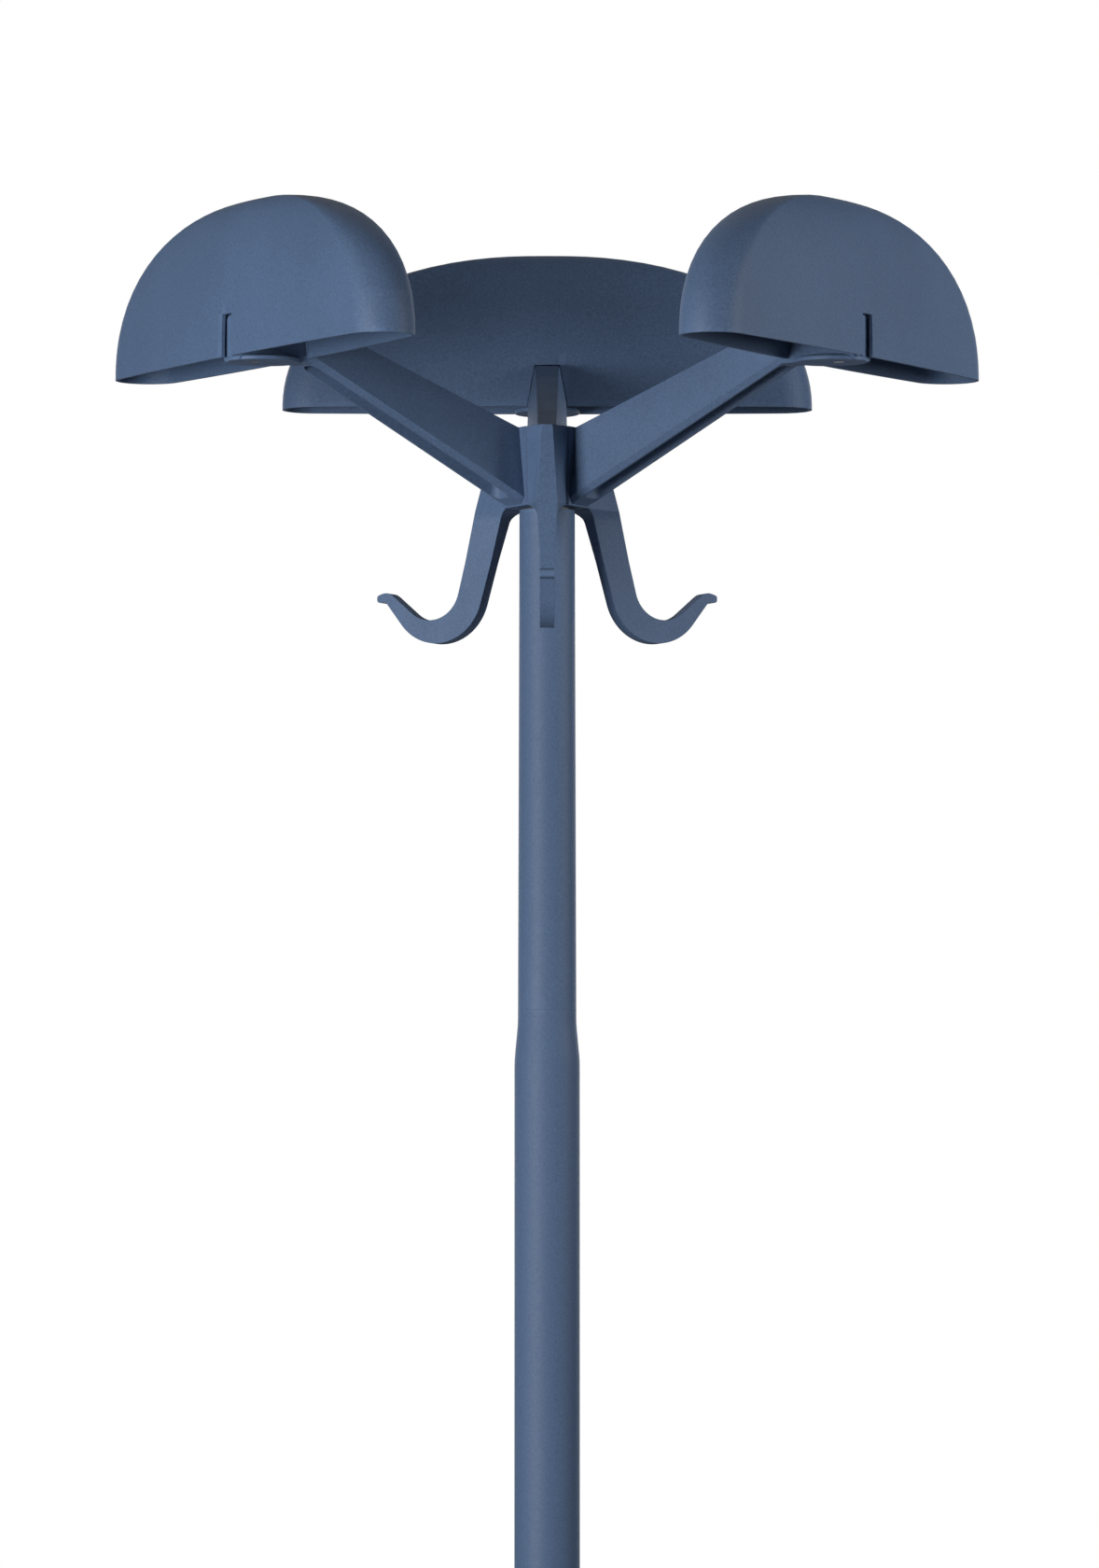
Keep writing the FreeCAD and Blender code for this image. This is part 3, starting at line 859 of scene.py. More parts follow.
@dataclass(frozen=True)
class Acetal:
    """Dark acetal bearing plastic, smooth and waxy."""

    name: str = "bearing_acetal"
    colour: tuple[float, float, float] = (0.05, 0.055, 0.065)

    def material(self) -> bpy.types.Material:
        """Builds the material.

        Returns:
            The material.
        """
        board = Board(self.name)
        cloud = board.noise(120.0, detail=4.0)
        scuff = board.noise(480.0, detail=3.0, stretch=(1.0, 1.0, 6.0))
        colour = board.blend(cloud, tint(self.colour, 0.85), tint(self.colour, 1.25))
        board.paint(colour, scuff * 0.15 + 0.3)
        board.relief((scuff, 0.1, 0.1 * MM))
        return board.material


@dataclass
class Finishes:
    """Every finish of the stand, made once."""

    moulding: bpy.types.Material = field(default_factory=lambda: MouldedPlastic().material())
    inner_moulding: bpy.types.Material = field(default_factory=lambda: MouldedPlastic(
        name="moulded_plastic_inner", worn_edges=False).material())
    coat: bpy.types.Material = field(default_factory=lambda: PowderCoat().material())
    rubber: bpy.types.Material = field(default_factory=lambda: Rubber().material())
    iron: bpy.types.Material = field(default_factory=lambda: CastIron().material())
    zinc: bpy.types.Material = field(default_factory=lambda: ZincPlate().material())
    acetal: bpy.types.Material = field(default_factory=lambda: Acetal().material())


def dress(piece: bpy.types.Object, material: bpy.types.Material, body: str, slot: str,
          *nodes: str) -> None:
    """Gives a new piece its finish, its body and the CAD node it stands for.

    Args:
        piece: the finished object.
        material: its material.
        body: the CAD body it moves with.
        slot: the record's material slot; not used.
        nodes: the CAD nodes it replaces.
    """
    piece.data.materials.clear()
    piece.data.materials.append(material)
    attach(piece, body)
    if nodes:
        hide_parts(*nodes)
    triangles = sum(len(face.vertices) - 2 for face in piece.data.polygons)
    log.info("%s: %d triangles on %s", piece.name, triangles, body)


def dress_round(pattern: bpy.types.Object, sides: type[Enum], node: str, prefix: str,
                material: bpy.types.Material) -> None:
    """Turns copies of a head piece to their sides, dresses them and removes the pattern.

    Args:
        pattern: the piece that points along +X.
        sides: the sides, with their azimuths.
        node: word that the CAD nodes' names begin with.
        prefix: word put before a node's name to name its new piece.
        material: the finish.
    """
    for side in sides:
        name = f"{node}_{side.name.lower()}"
        copy = turned_copy(pattern, f"{prefix}_{name}", side.value)
        dress(copy, material, "head", "moulding", name)
    bpy.data.objects.remove(pattern)


def repaint(node: bpy.types.Object, material: bpy.types.Material) -> None:
    """Gives a CAD node a finish in each of its material slots.

    Args:
        node: the CAD node.
        material: its material.
    """
    if not node.material_slots:
        node.data.materials.append(material)
    for slot in node.material_slots:
        slot.material = material
    log.info("%s: CAD node in %s", node.name, material.name)


@dataclass(frozen=True)
class Levels:
    """The heights and radii of the frame that the new pieces are built to, in metres."""

    hub_base: float
    hub_top: float
    lip: float
    crown: float
    neck: float
    tube_top: float
    tube_foot: float

    @classmethod
    def read(cls) -> "Levels":
        """Reads them from the CAD nodes.

        Returns:
            The levels.
        """
        hub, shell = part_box("hub_core"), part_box("shell_rear")
        upper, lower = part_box("upper_tube"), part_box("lower_tube")
        return cls(hub_base=hub[0].z, hub_top=hub[1].z, lip=shell[0].z, crown=shell[1].z,
                   neck=upper[0].z, tube_top=upper[1].z, tube_foot=lower[0].z)


# ------------------------------------------------------------------ hanger shells

@dataclass
class HangerShells:
    """Three half-moon shells, each notched for its arm and slotted for the arm's blade."""

    levels: Levels
    centre: float = 0.234
    half_length: float = 0.196
    half_depth: float = 0.030
    end_ratio: float = 0.81  # radius of the blunt ends over the half depth
    length_power: float = 2.25  # of the superellipse that the shell is lengthwise
    depth_power: float = 2.9  # of the superellipse that it is across
    wall: float = 0.0026
    slot_half: float = 0.00675
    notch_base_half: float = 0.0153
    notch_top_half: float = 0.00925
    opening_height: float = 0.0305
    end_sides: int = 48
    lip_round: float = 0.0009
    first_station: float = 0.158  # stations are the places along the flank that have vertices
    last_station: float = 0.026
    station_gap: float = 0.015
    station_count: int = 9
    notch_support: float = 1.5 * MM  # supports are rings close outside an opening's edge
    slot_support: float = 1.35 * MM
    top_support: float = 1.3 * MM
    low_levels: tuple[float, ...] = (0.005, 0.011, 0.0175, 0.024)  # of rings beside the openings
    upper_steps: int = 16
    crown_spread: float = 1.25  # above one, the rings crowd towards the crown
    last_angle: float = 88.2  # where the crown's face closes the shell, in degrees
    rib_top: float = 0.062
    rib_half: float = 1.5 * MM
    rib_clearance: float = 1.2 * MM
    rib_lean: float = 3 * MM
    rib_draft: float = 0.8
    boss_offset: float = 6 * MM
    boss_radius: float = 6.5 * MM
    boss_sides: int = 32
    boss_bore: float = 2.1 * MM
    boss_bore_depth: float = 12 * MM
    boss_height: float = 26 * MM
    boss_draft: float = 0.93

    def flank(self, y: float) -> float:
        """Half depth of the lip's outline at a distance from the middle.

        Args:
            y: distance along the shell.

        Returns:
            The half depth there.
        """
        blunt = self.end_ratio * self.half_depth
        middle = self.half_length - blunt
        radius = (middle ** 2 + self.half_depth ** 2 - blunt ** 2) / (2 * (self.half_depth - blunt))
        return self.half_depth - radius + math.sqrt(radius ** 2 - y ** 2)

    def stations(self) -> list[float]:
        """Works out the stations, with the openings' edges and their supports.

        Returns:
            Distances from the middle, the outermost first.
        """
        plain = [self.first_station - self.station_gap * step for step in range(self.station_count)]
        notch, slot = self.notch_base_half, self.slot_half
        return plain + [self.last_station, notch + self.notch_support, notch,
                        slot + self.slot_support, slot, 0.0]

    def outline(self) -> Workpiece:
        """Draws the lip's outline: two blunt ends and two long flanks.

        Returns:
            The workpiece, an open ring of edges.
        """
        blunt = self.end_ratio * self.half_depth
        middle = self.half_length - blunt
        lip = self.levels.lip
        work = Workpiece.ring("shell_pattern", self.end_sides, blunt, (self.centre, 0, lip))
        work.pick(lambda spot: spot.y < -HAIR)
        work.delete(Pick.VERTEX)
        work.all()
        work.move((0, middle, 0))
        here = middle
        for station in self.stations():
            work.pick(lambda spot, level=here: abs(spot.y - level) < HAIR)
            work.extrude((0, station - here, 0))
            work.scale((self.flank(station) / self.flank(here), 1, 1), (self.centre, station, lip))
            here = station
        work.close()
        modify(work.piece, "MIRROR", use_axis=(False, True, False), use_mirror_merge=True,
               merge_threshold=HAIR)
        bpy.ops.object.mode_set(mode="EDIT")
        return work

    def factors(self, height: float, full: float) -> tuple[float, float]:
        """Depth and length of the shell at a height, as shares of those at the lip.

        Args:
            height: height above the lip.
            full: height where the shell would close.

        Returns:
            The depth's share and the length's.
        """
        rest = 1 - (height / full) ** self.length_power
        return rest ** (1 / self.depth_power), rest ** (1 / self.length_power)

    def notch_half(self, height: float) -> float:
        """Half width of the arm's notch at a height above the lip."""
        share = height / self.opening_height
        return self.notch_base_half + (self.notch_top_half - self.notch_base_half) * share

    def rise(self, work: Workpiece) -> None:
        """Draws the outline up into the shell, ring by ring, and closes its crown.

        Args:
            work: the lip's outline.
        """
        lip = self.levels.lip
        top_share = math.sin(math.radians(self.last_angle)) ** (2 / self.length_power)
        full = (self.levels.crown - lip) / top_share
        start = math.asin((self.opening_height / full) ** (self.length_power / 2))
        end = math.radians(self.last_angle)
        angles = [start + (end - start) * (1 - (1 - step / self.upper_steps) ** self.crown_spread)
                  for step in range(1, self.upper_steps + 1)]
        heights = [*self.low_levels, self.opening_height, self.opening_height + self.top_support]
        heights += [full * math.sin(angle) ** (2 / self.length_power) for angle in angles]
        depth, length = 1.0, 1.0
        slot_now, notch_now = self.slot_half, self.notch_base_half
        below = 0.0
        for height in heights:
            new_depth, new_length = self.factors(height, full)
            work.pick(lambda spot, level=lip + below: abs(spot.z - level) < HAIR)
            work.extrude((0, 0, height - below))
            work.scale((new_depth / depth, new_length / length, 1), (self.centre, 0, lip + height))
            if height <= self.opening_height + HAIR:
                shrink = new_length / length
                self.straighten(work, height, slot_now * shrink, self.slot_half, outer=True)
                self.straighten(work, height, notch_now * shrink, self.notch_half(height), outer=False)
                notch_now = self.notch_half(height)
            depth, length, below = new_depth, new_length, height
        work.fill()

    def straighten(self, work: Workpiece, height: float, now: float, wanted: float,
                   outer: bool) -> None:
        """Moves one pair of an opening's edge vertices onto the opening's line.

        Args:
            work: the shell.
            height: height of the ring above the lip.
            now: present distance of the pair from the middle.
            wanted: distance of the opening's line.
            outer: whether the pair is on the outer flank.
        """
        level = self.levels.lip + height
        reach = 0.6 * MM
        work.pick(lambda spot: abs(spot.z - level) < HAIR and (spot.x > self.centre) == outer
                  and abs(abs(spot.y) - now) < reach)
        work.scale((1, wanted / now, 1), (self.centre, 0, level))

    def open_up(self, work: Workpiece) -> None:
        """Takes the faces out of the notch and of the slot.

        Args:
            work: the shell's skin.
        """
        top = self.levels.lip + self.opening_height

        def inside(spot: Vector) -> bool:
            """Tells whether a face lies in the notch or in the slot.

            Args:
                spot: the face's middle.

            Returns:
                Whether it does.
            """
            if spot.z > top:
                return False
            if spot.x > self.centre:
                return abs(spot.y) < self.slot_half
            return abs(spot.y) < self.notch_half(spot.z - self.levels.lip)

        work.pick(inside, Pick.FACE)
        work.delete(Pick.FACE)

    def rib(self) -> bpy.types.Object:
        """Builds the upright rib that crosses the hollow over the arm's end.

        Returns:
            The rib.
        """
        base, top = self.levels.lip + self.opening_height, self.levels.lip + self.rib_top
        half = self.half_depth - self.rib_clearance
        work = Workpiece.block("shell_rib", (self.centre - half, -self.rib_half, base),
                               (self.centre + half, self.rib_half, top))
        work.pick(lambda spot: spot.z > base + MM)
        work.scale(((half - self.rib_lean) / half, self.rib_draft, 1), (self.centre, 0, top))
        return work.close()

    def boss(self) -> bpy.types.Object:
        """Builds the screw boss beside the rib.

        Returns:
            The boss.
        """
        centre = (self.centre + self.boss_offset, 0, self.levels.lip + self.opening_height)
        work = Workpiece.disc("shell_boss", self.boss_sides, self.boss_radius, centre)
        bpy.ops.mesh.inset(thickness=self.boss_radius - self.boss_bore)
        work.move((0, 0, self.boss_bore_depth))
        inner = self.boss_radius - 0.5 * MM
        work.pick(lambda spot: (spot.xy - Vector(centre[:2])).length > inner, Pick.EDGE)
        work.extrude((0, 0, self.boss_height))
        work.scale((self.boss_draft, self.boss_draft, 1), centre)
        work.fill()
        work.face_outwards()
        return work.close()

    def pattern(self) -> bpy.types.Object:
        """Builds one shell that points along +X.

        Returns:
            The shell.
        """
        work = self.outline()
        self.rise(work)
        self.open_up(work)
        work.face_outwards()
        piece = work.close()
        modify(piece, "SOLIDIFY", thickness=self.wall, offset=-1.0, use_even_offset=True)
        round_edges(piece, self.lip_round, from_angle=50.0)
        shell = join([piece, self.rib(), self.boss()])
        smooth(shell, angle=50.0)
        return shell

    def build(self, finishes: Finishes) -> None:
        """Builds and dresses the three shells.

        Args:
            finishes: the stand's finishes.
        """
        dress_round(self.pattern(), ArmSide, "shell", "hanger", finishes.moulding)


# ------------------------------------------------------------------ arms

@dataclass
class Arms:
    """Three drafted channel arms with an oval paddle and a blade at their ends."""

    levels: Levels
    root: float = 0.027
    shoulder: float = 0.034
    bend: float = 0.200
    end: float = 0.259
    # half widths at the lower and at the upper edge
    root_half: tuple[float, float] = (0.0146, 0.00625)
    shoulder_half: tuple[float, float] = (0.0165, 0.00625)
    tip_half: tuple[float, float] = (0.015, 0.00875)
    rise: float = 0.030
    drop: float = 0.0026
    root_lift: float = 0.001
    root_drop: float = 0.0003
    chamfer: float = 0.0042
    groove_wall: float = 0.0021
    groove_round: float = 0.006
    groove_lift: float = 0.4 * MM
    web: float = 0.0053
    top_wall: float = 0.0035
    paddle_half: tuple[float, float] = (0.027, 0.024)
    paddle_centre: float = 0.234
    paddle_base: float = 0.003
    paddle_sides: int = 72
    screw_at: float = 0.240
    screw_bore: float = 0.0042
    screw_sink: float = 0.0024
    seat_sides: int = 32
    blade_half: float = 0.002
    blade_end: float = 0.2605
    blade_top: float = 0.0296
    blade_sink: float = 2 * MM
    blade_draft: float = 0.86
    blade_round: float = 0.6 * MM
    bend_round: float = 14 * MM
    edge_round: float = 0.7 * MM

    def base_line(self, x: float) -> float:
        """Height of the lower edge at a radius."""
        start, finish = self.levels.hub_base + self.root_lift, self.levels.lip - self.drop
        return start + (finish - start) * min((x - self.root) / (self.bend - self.root), 1)

    def top_line(self, x: float) -> float:
        """Height of the upper edge at a radius."""
        start, finish = self.levels.hub_top - self.root_drop, self.levels.lip + self.rise
        return start + (finish - start) * min((x - self.root) / (self.bend - self.root), 1)

    def set_section(self, work: Workpiece, x: float, halves: tuple[float, float]) -> None:
        """Brings the four corners at one radius to the arm's section there.

        Args:
            work: the arm.
            x: the radius.
            halves: half widths at the lower and at the upper edge.
        """
        mesh = bmesh.from_edit_mesh(work.piece.data)
        heights = [item.co.z for item in mesh.verts if abs(item.co.x - x) < HAIR]
        low, high = min(heights), max(heights)
        for now, half, wanted in ((high, halves[1], self.top_line(x)),
                                  (low, halves[0], self.base_line(x))):
            work.set_pair(lambda spot, level=now: abs(spot.x - x) < HAIR and abs(spot.z - level) < HAIR,
                          half, x, wanted)

    def beam(self) -> bpy.types.Object:
        """Builds the channel from the hub to its end, with its groove and its eased bend.

        Returns:
            The beam.
        """
        half = self.root_half[0]
        work = Workpiece.block("arm_beam", (self.root, -half, self.base_line(self.root)),
                               (self.shoulder, half, self.top_line(self.root)))
        self.set_section(work, self.root, self.root_half)
        self.set_section(work, self.shoulder, self.shoulder_half)
        here = self.shoulder
        for x, halves in ((self.bend, self.tip_half), (self.end, self.tip_half)):
            work.pick(lambda spot, at=here: abs(spot.x - at) < HAIR, Pick.FACE)
            work.extrude((x - here, 0, 0))
            self.set_section(work, x, halves)
            here = x
        work.pick_edges(lambda a, b: min(abs(a.y), abs(b.y)) > self.root_half[1] + MM and a.y * b.y > 0
                        and abs(a.x - b.x) > MM)
        work.bevel(self.chamfer, segments=1)
        self.groove(work)
        top = self.top_line(self.bend)
        work.pick_edges(lambda a, b: max(abs(a.x - self.bend), abs(b.x - self.bend)) < HAIR
                        and min(a.z, b.z) > top - MM)
        work.bevel(self.bend_round, segments=7)
        work.merge()
        work.face_outwards()
        piece = work.close()
        round_edges(piece, self.edge_round, from_angle=30.0)
        return piece

    def groove(self, work: Workpiece) -> None:
        """Hollows the beam from below between two walls.

        Args:
            work: the beam.
        """
        middle = (self.shoulder + self.bend) / 2
        below = self.base_line(middle) + self.chamfer
        work.pick(lambda spot: abs(spot.x - middle) < self.shoulder and spot.z < below
                  and abs(spot.y) < MM, Pick.FACE)
        bpy.ops.mesh.inset(thickness=self.groove_wall, use_even_offset=True)
        work.extrude((0, 0, self.groove_lift))
        spots = work.selected_spots()
        first, last = min(spot.x for spot in spots), max(spot.x for spot in spots)
        for x, half in ((first, self.shoulder_half[1]), (last, self.tip_half[1])):
            level = next(spot.z for spot in spots if abs(spot.x - x) < HAIR)
            work.set_pair(lambda spot, at=x, z=level: abs(spot.x - at) < HAIR and abs(spot.z - z) < HAIR,
                          half - self.top_wall, x, self.top_line(x) - self.web)
        work.pick_edges(lambda a, b: abs(a.x - b.x) < HAIR and abs(a.z - b.z) > self.web
                        and min(abs(a.x - first), abs(a.x - last)) < HAIR)
        work.bevel(self.groove_round, segments=5)

    def bore(self, piece: bpy.types.Object) -> None:
        """Sinks the shell screw's seat into a piece from below.

        Args:
            piece: the beam or the paddle.
        """
        base = self.levels.lip - self.paddle_base
        work = Workpiece.disc("seat_cutter", self.seat_sides, self.screw_bore,
                              (self.screw_at, 0, base - MM))
        work.extrude((0, 0, MM + self.screw_sink))
        work.face_outwards()
        cut_away(piece, work.close())

    def paddle(self) -> bpy.types.Object:
        """Builds the oval plate that closes the shell's notch from below.

        Returns:
            The paddle.
        """
        centre = (self.paddle_centre, 0, self.levels.lip - self.paddle_base)
        along, across = self.paddle_half
        work = Workpiece.disc("arm_paddle", self.paddle_sides, across, centre)
        work.scale((along / across, 1, 1), centre)
        work.extrude((0, 0, self.paddle_base))
        work.face_outwards()
        piece = work.close()
        round_edges(piece, self.edge_round, segments=2, from_angle=50.0)
        return piece

    def blade(self) -> bpy.types.Object:
        """Builds the upright blade that shows in the shell's slot.

        Returns:
            The blade.
        """
        lip = self.levels.lip
        low = (self.end - self.blade_sink, -self.blade_half, lip - self.drop)
        work = Workpiece.block("arm_blade", low, (self.blade_end, self.blade_half, lip + self.blade_top))
        work.pick(lambda spot: spot.x > self.end + MM)
        work.scale((1, self.blade_draft, 1), (self.blade_end, 0, lip))
        piece = work.close()
        round_edges(piece, self.blade_round, segments=2, from_angle=50.0)
        return piece

    def build(self, finishes: Finishes) -> None:
        """Builds and dresses the three arms.

        Args:
            finishes: the stand's finishes.
        """
        beam, paddle = self.beam(), self.paddle()
        self.bore(beam)
        self.bore(paddle)
        pattern = join([beam, paddle, self.blade()])
        smooth(pattern, angle=35.0)
        dress_round(pattern, ArmSide, "arm", "channel", finishes.moulding)


# ------------------------------------------------------------------ hooks

@dataclass
class CoatHooks:
    """Three flat J-hooks whose flared roots key into the hub; depths are below the hub's top."""

    levels: Levels
    half: float = 0.0054
    front_reach: float = 0.041  # of the outer edge, at the hub's top
    front_lean: float = 0.2625  # outward slope of the outer edge
    back_reach: float = 0.0327  # of the column-side edge, at the hub's base
    back_lean: float = 0.298  # outward slope of the column-side edge
    neck_depth: float = 0.093
    arch: float = 0.008
    arch_steps: int = 5
    base_near_half: float = 0.0135
    base_far_half: float = 0.0075
    top_near_half: float = 0.0150
    top_far_half: float = 0.0040
    root: float = 0.0272
    bend_depth: float = 0.1944
    bend_radius: float = 0.038
    throat_depth: float = 0.1527
    throat_radius: float = 0.024
    tip_reach: float = 0.1396
    tip_depth: float = 0.1114
    tip_corner: float = 0.1304
    tip_round: float = 0.010
    nose_height: float = 0.0084
    nose_fall: float = 0.0031
    nose_lift: float = 0.0004
    nose_corner: float = 0.1321
    nose_radius: float = 0.0021
    edge_round: float = 0.0006
    least_steps: int = 5
    step_length: float = 2.4 * MM

    def front(self, depth: float) -> float:
        """Radius of the outer edge at a depth."""
        return self.front_reach + self.front_lean * depth

    def back(self, depth: float) -> float:
        """Radius of the column-side edge at a depth."""
        hub_height = self.levels.hub_top - self.levels.hub_base
        return self.back_reach + self.back_lean * (depth - hub_height)

    def draw(self, work: Workpiece, corners: Sequence[tuple[float, float, float]]) -> None:
        """Draws a run of straight edges with rounded corners, from the selected vertex.

        Args:
            work: the profile.
            corners: each corner's radius from the axis, depth and rounding.
        """
        top = self.levels.hub_top
        start = work.selected_spots()[0]
        spots = [Vector((start.x, start.z))] + [Vector((x, top - depth)) for x, depth, _ in corners]
        for index in range(1, len(spots) - 1):
            corner, rounding = spots[index], corners[index - 1][2]
            back = (spots[index - 1] - corner).normalized()
            ahead = (spots[index + 1] - corner).normalized()
            half = back.angle(ahead) / 2
            reach = rounding / math.tan(half)
            centre = corner + (back + ahead).normalized() * (rounding / math.sin(half))
            enter, leave = corner + back * reach, corner + ahead * reach
            steps = max(self.least_steps, int(rounding * (math.pi - 2 * half) / self.step_length))
            work.line_to(enter.x, enter.y)
            work.arc_to(leave.x, leave.y, (centre.x, centre.y), steps)
        work.line_to(spots[-1].x, spots[-1].y)

    def bar(self) -> Workpiece:
        """Draws the hook's profile from the neck to the nose and back, and gives it its thickness.

        Returns:
            The workpiece, a flat bar.
        """
        top, neck = self.levels.hub_top, self.neck_depth
        work = Workpiece.point("hook_pattern", (self.back(neck), -self.half, top - neck))
        under_nose = self.tip_depth + self.nose_height
        self.draw(work, [
            (self.back(self.bend_depth), self.bend_depth, self.bend_radius),
            (self.nose_corner, under_nose, self.nose_radius),
            (self.tip_reach, under_nose - self.nose_lift, self.nose_radius),
            (self.tip_reach, self.tip_depth + self.nose_fall, self.nose_radius),
            (self.tip_corner, self.tip_depth, self.tip_round),
            (self.front(self.throat_depth), self.throat_depth, self.throat_radius),
            (self.front(neck), neck, 0.0)])
        work.merge()
        work.all()
        work.fill()
        work.extrude((0, 2 * self.half, 0))
        work.face_outwards()
        return work

    def set_plan(self, work: Workpiece, level: float, near: float, far: float, near_half: float,
                 far_half: float) -> None:
        """Brings the four corners of the newest level face to a plan trapezoid.

        Args:
            work: the hook.
            level: height of the face.
            near: radius of its inner edge.
            far: radius of its outer edge.
            near_half: half width at the inner edge.
            far_half: half width at the outer edge.
        """
        spots = work.selected_spots()
        inner, outer = min(spot.x for spot in spots), max(spot.x for spot in spots)
        now = spots[0].z
        work.scale(((far - near) / (outer - inner), 1, 1), (inner, 0, now))
        work.move((near - inner, 0, level - now))
        mesh = bmesh.from_edit_mesh(work.piece.data)
        chosen = [item for item in mesh.verts if item.select]
        middle = (near + far) / 2
        inner_numbers = sorted(item.index for item in chosen if item.co.x < middle)
        outer_numbers = sorted(item.index for item in chosen if item.co.x > middle)
        for numbers, wanted, along in ((inner_numbers, near_half, near), (outer_numbers, far_half, far)):
            work.pick_numbers(numbers)
            present = max(abs(spot.y) for spot in work.selected_spots())
            work.scale((1, wanted / present, 1), (along, 0, level))
        work.pick_numbers(inner_numbers + outer_numbers)

    def pattern(self) -> bpy.types.Object:
        """Builds one hook that points along +X.

        Returns:
            The hook.
        """
        top, base = self.levels.hub_top, self.levels.hub_base
        hub_height = top - base
        work = self.bar()
        neck_level = top - self.neck_depth
        middle = (self.back(self.neck_depth) + self.front(self.neck_depth)) / 2
        work.pick(lambda spot: abs(spot.z - neck_level) < HAIR and abs(spot.x - middle) < MM, Pick.FACE)
        steps = [hub_height + self.arch]
        steps += [hub_height + self.arch * (1 - math.sin(math.pi / 2 * step / self.arch_steps))
                  for step in range(1, self.arch_steps + 1)]
        for depth in steps:
            share = (self.neck_depth - depth) / (self.neck_depth - hub_height)
            half = self.half + (self.base_far_half - self.half) * share
            climbed = max(0.0, hub_height + self.arch - depth)
            hollow = self.arch - math.sqrt(max(self.arch ** 2 - climbed ** 2, 0.0))
            near = max(self.back(depth) - hollow, self.root)
            near_half = half + (self.base_near_half - half) * (climbed / self.arch) ** 2
            work.extrude()
            self.set_plan(work, top - depth, near, self.front(depth), near_half, half)
        work.extrude()
        self.set_plan(work, top, self.root, self.front_reach, self.top_near_half, self.top_far_half)
        work.merge(HAIR / 4)
        work.face_outwards()
        piece = work.close()
        round_edges(piece, self.edge_round, from_angle=30.0)
        smooth(piece, angle=35.0)
        return piece

    def build(self, finishes: Finishes) -> None:
        """Builds and dresses the three hooks.

        Args:
            finishes: the stand's finishes.
        """
        dress_round(self.pattern(), HookSide, "hook", "coat", finishes.moulding)


# ------------------------------------------------------------------ column

@dataclass
class Column:
    """The lower tube with its swaged neck and the slightly tapered upper tube."""

    levels: Levels
    sides: int = 96
    lower_radius: float = 0.0235
    neck_radius: float = 0.021
    upper_radius: float = 0.020
    wall: float = 0.0015
    cone_height: float = 0.0355
    neck_straight: float = 0.009
    cone_round: float = 0.004
    seam_round: float = 0.00015
    lower_rings: tuple[float, ...] = (0.3, 0.7)  # heights of plain rings between the ends
    upper_rings: tuple[float, ...] = (0, 0.25, 0.5, 0.75, 1)  # shares of the upper tube's height

    def tube(self, name: str, profile: Sequence[tuple[float, float]]) -> bpy.types.Object:
        """Draws a tube up from a ring through rising (radius, height) pairs.

        Args:
            name: name of the tube.
            profile: radius and height of each ring.

        Returns:
            The tube with its wall.
        """
        radius, level = profile[0]
        work = Workpiece.ring(name, self.sides, radius, (0, 0, level))
        for new_radius, new_level in profile[1:]:
            work.extrude((0, 0, new_level - level))
            work.scale((new_radius / radius, new_radius / radius, 1), (0, 0, new_level))
            radius, level = new_radius, new_level
        work.face_outwards()
        piece = work.close()
        modify(piece, "SOLIDIFY", thickness=self.wall, offset=-1.0, use_even_offset=True)
        round_edges(piece, self.seam_round, segments=2, from_angle=50.0)
        smooth(piece, angle=30.0)
        return piece

    def build(self, finishes: Finishes) -> None:
        """Builds and dresses both tubes.

        Args:
            finishes: the stand's finishes.
        """
        neck, foot = self.levels.neck, self.levels.tube_foot
        cone_foot, shoulder = neck - self.cone_height, neck - self.neck_straight
        lower, upper = self.lower_radius, self.neck_radius
        ease = self.cone_round
        step = ease * (lower - upper) / (shoulder - cone_foot)
        straight = [(lower, level) for level in (foot, *self.lower_rings, cone_foot - ease)]
        lower_tube = self.tube("column_lower_tube", straight + [
            (lower - step / 4, cone_foot), (lower - step, cone_foot + ease),
            (upper + step, shoulder - ease), (upper + step / 4, shoulder),
            (upper, shoulder + ease), (upper, neck)])
        dress(lower_tube, finishes.coat, "stand", "painted_tube", "lower_tube")
        span = self.levels.tube_top - neck
        rings = [(upper + (self.upper_radius - upper) * share, neck + span * share)
                 for share in self.upper_rings]
        upper_tube = self.tube("column_upper_tube", rings)
        dress(upper_tube, finishes.coat, "stand", "painted_tube", "upper_tube")


# ------------------------------------------------------------------ foot

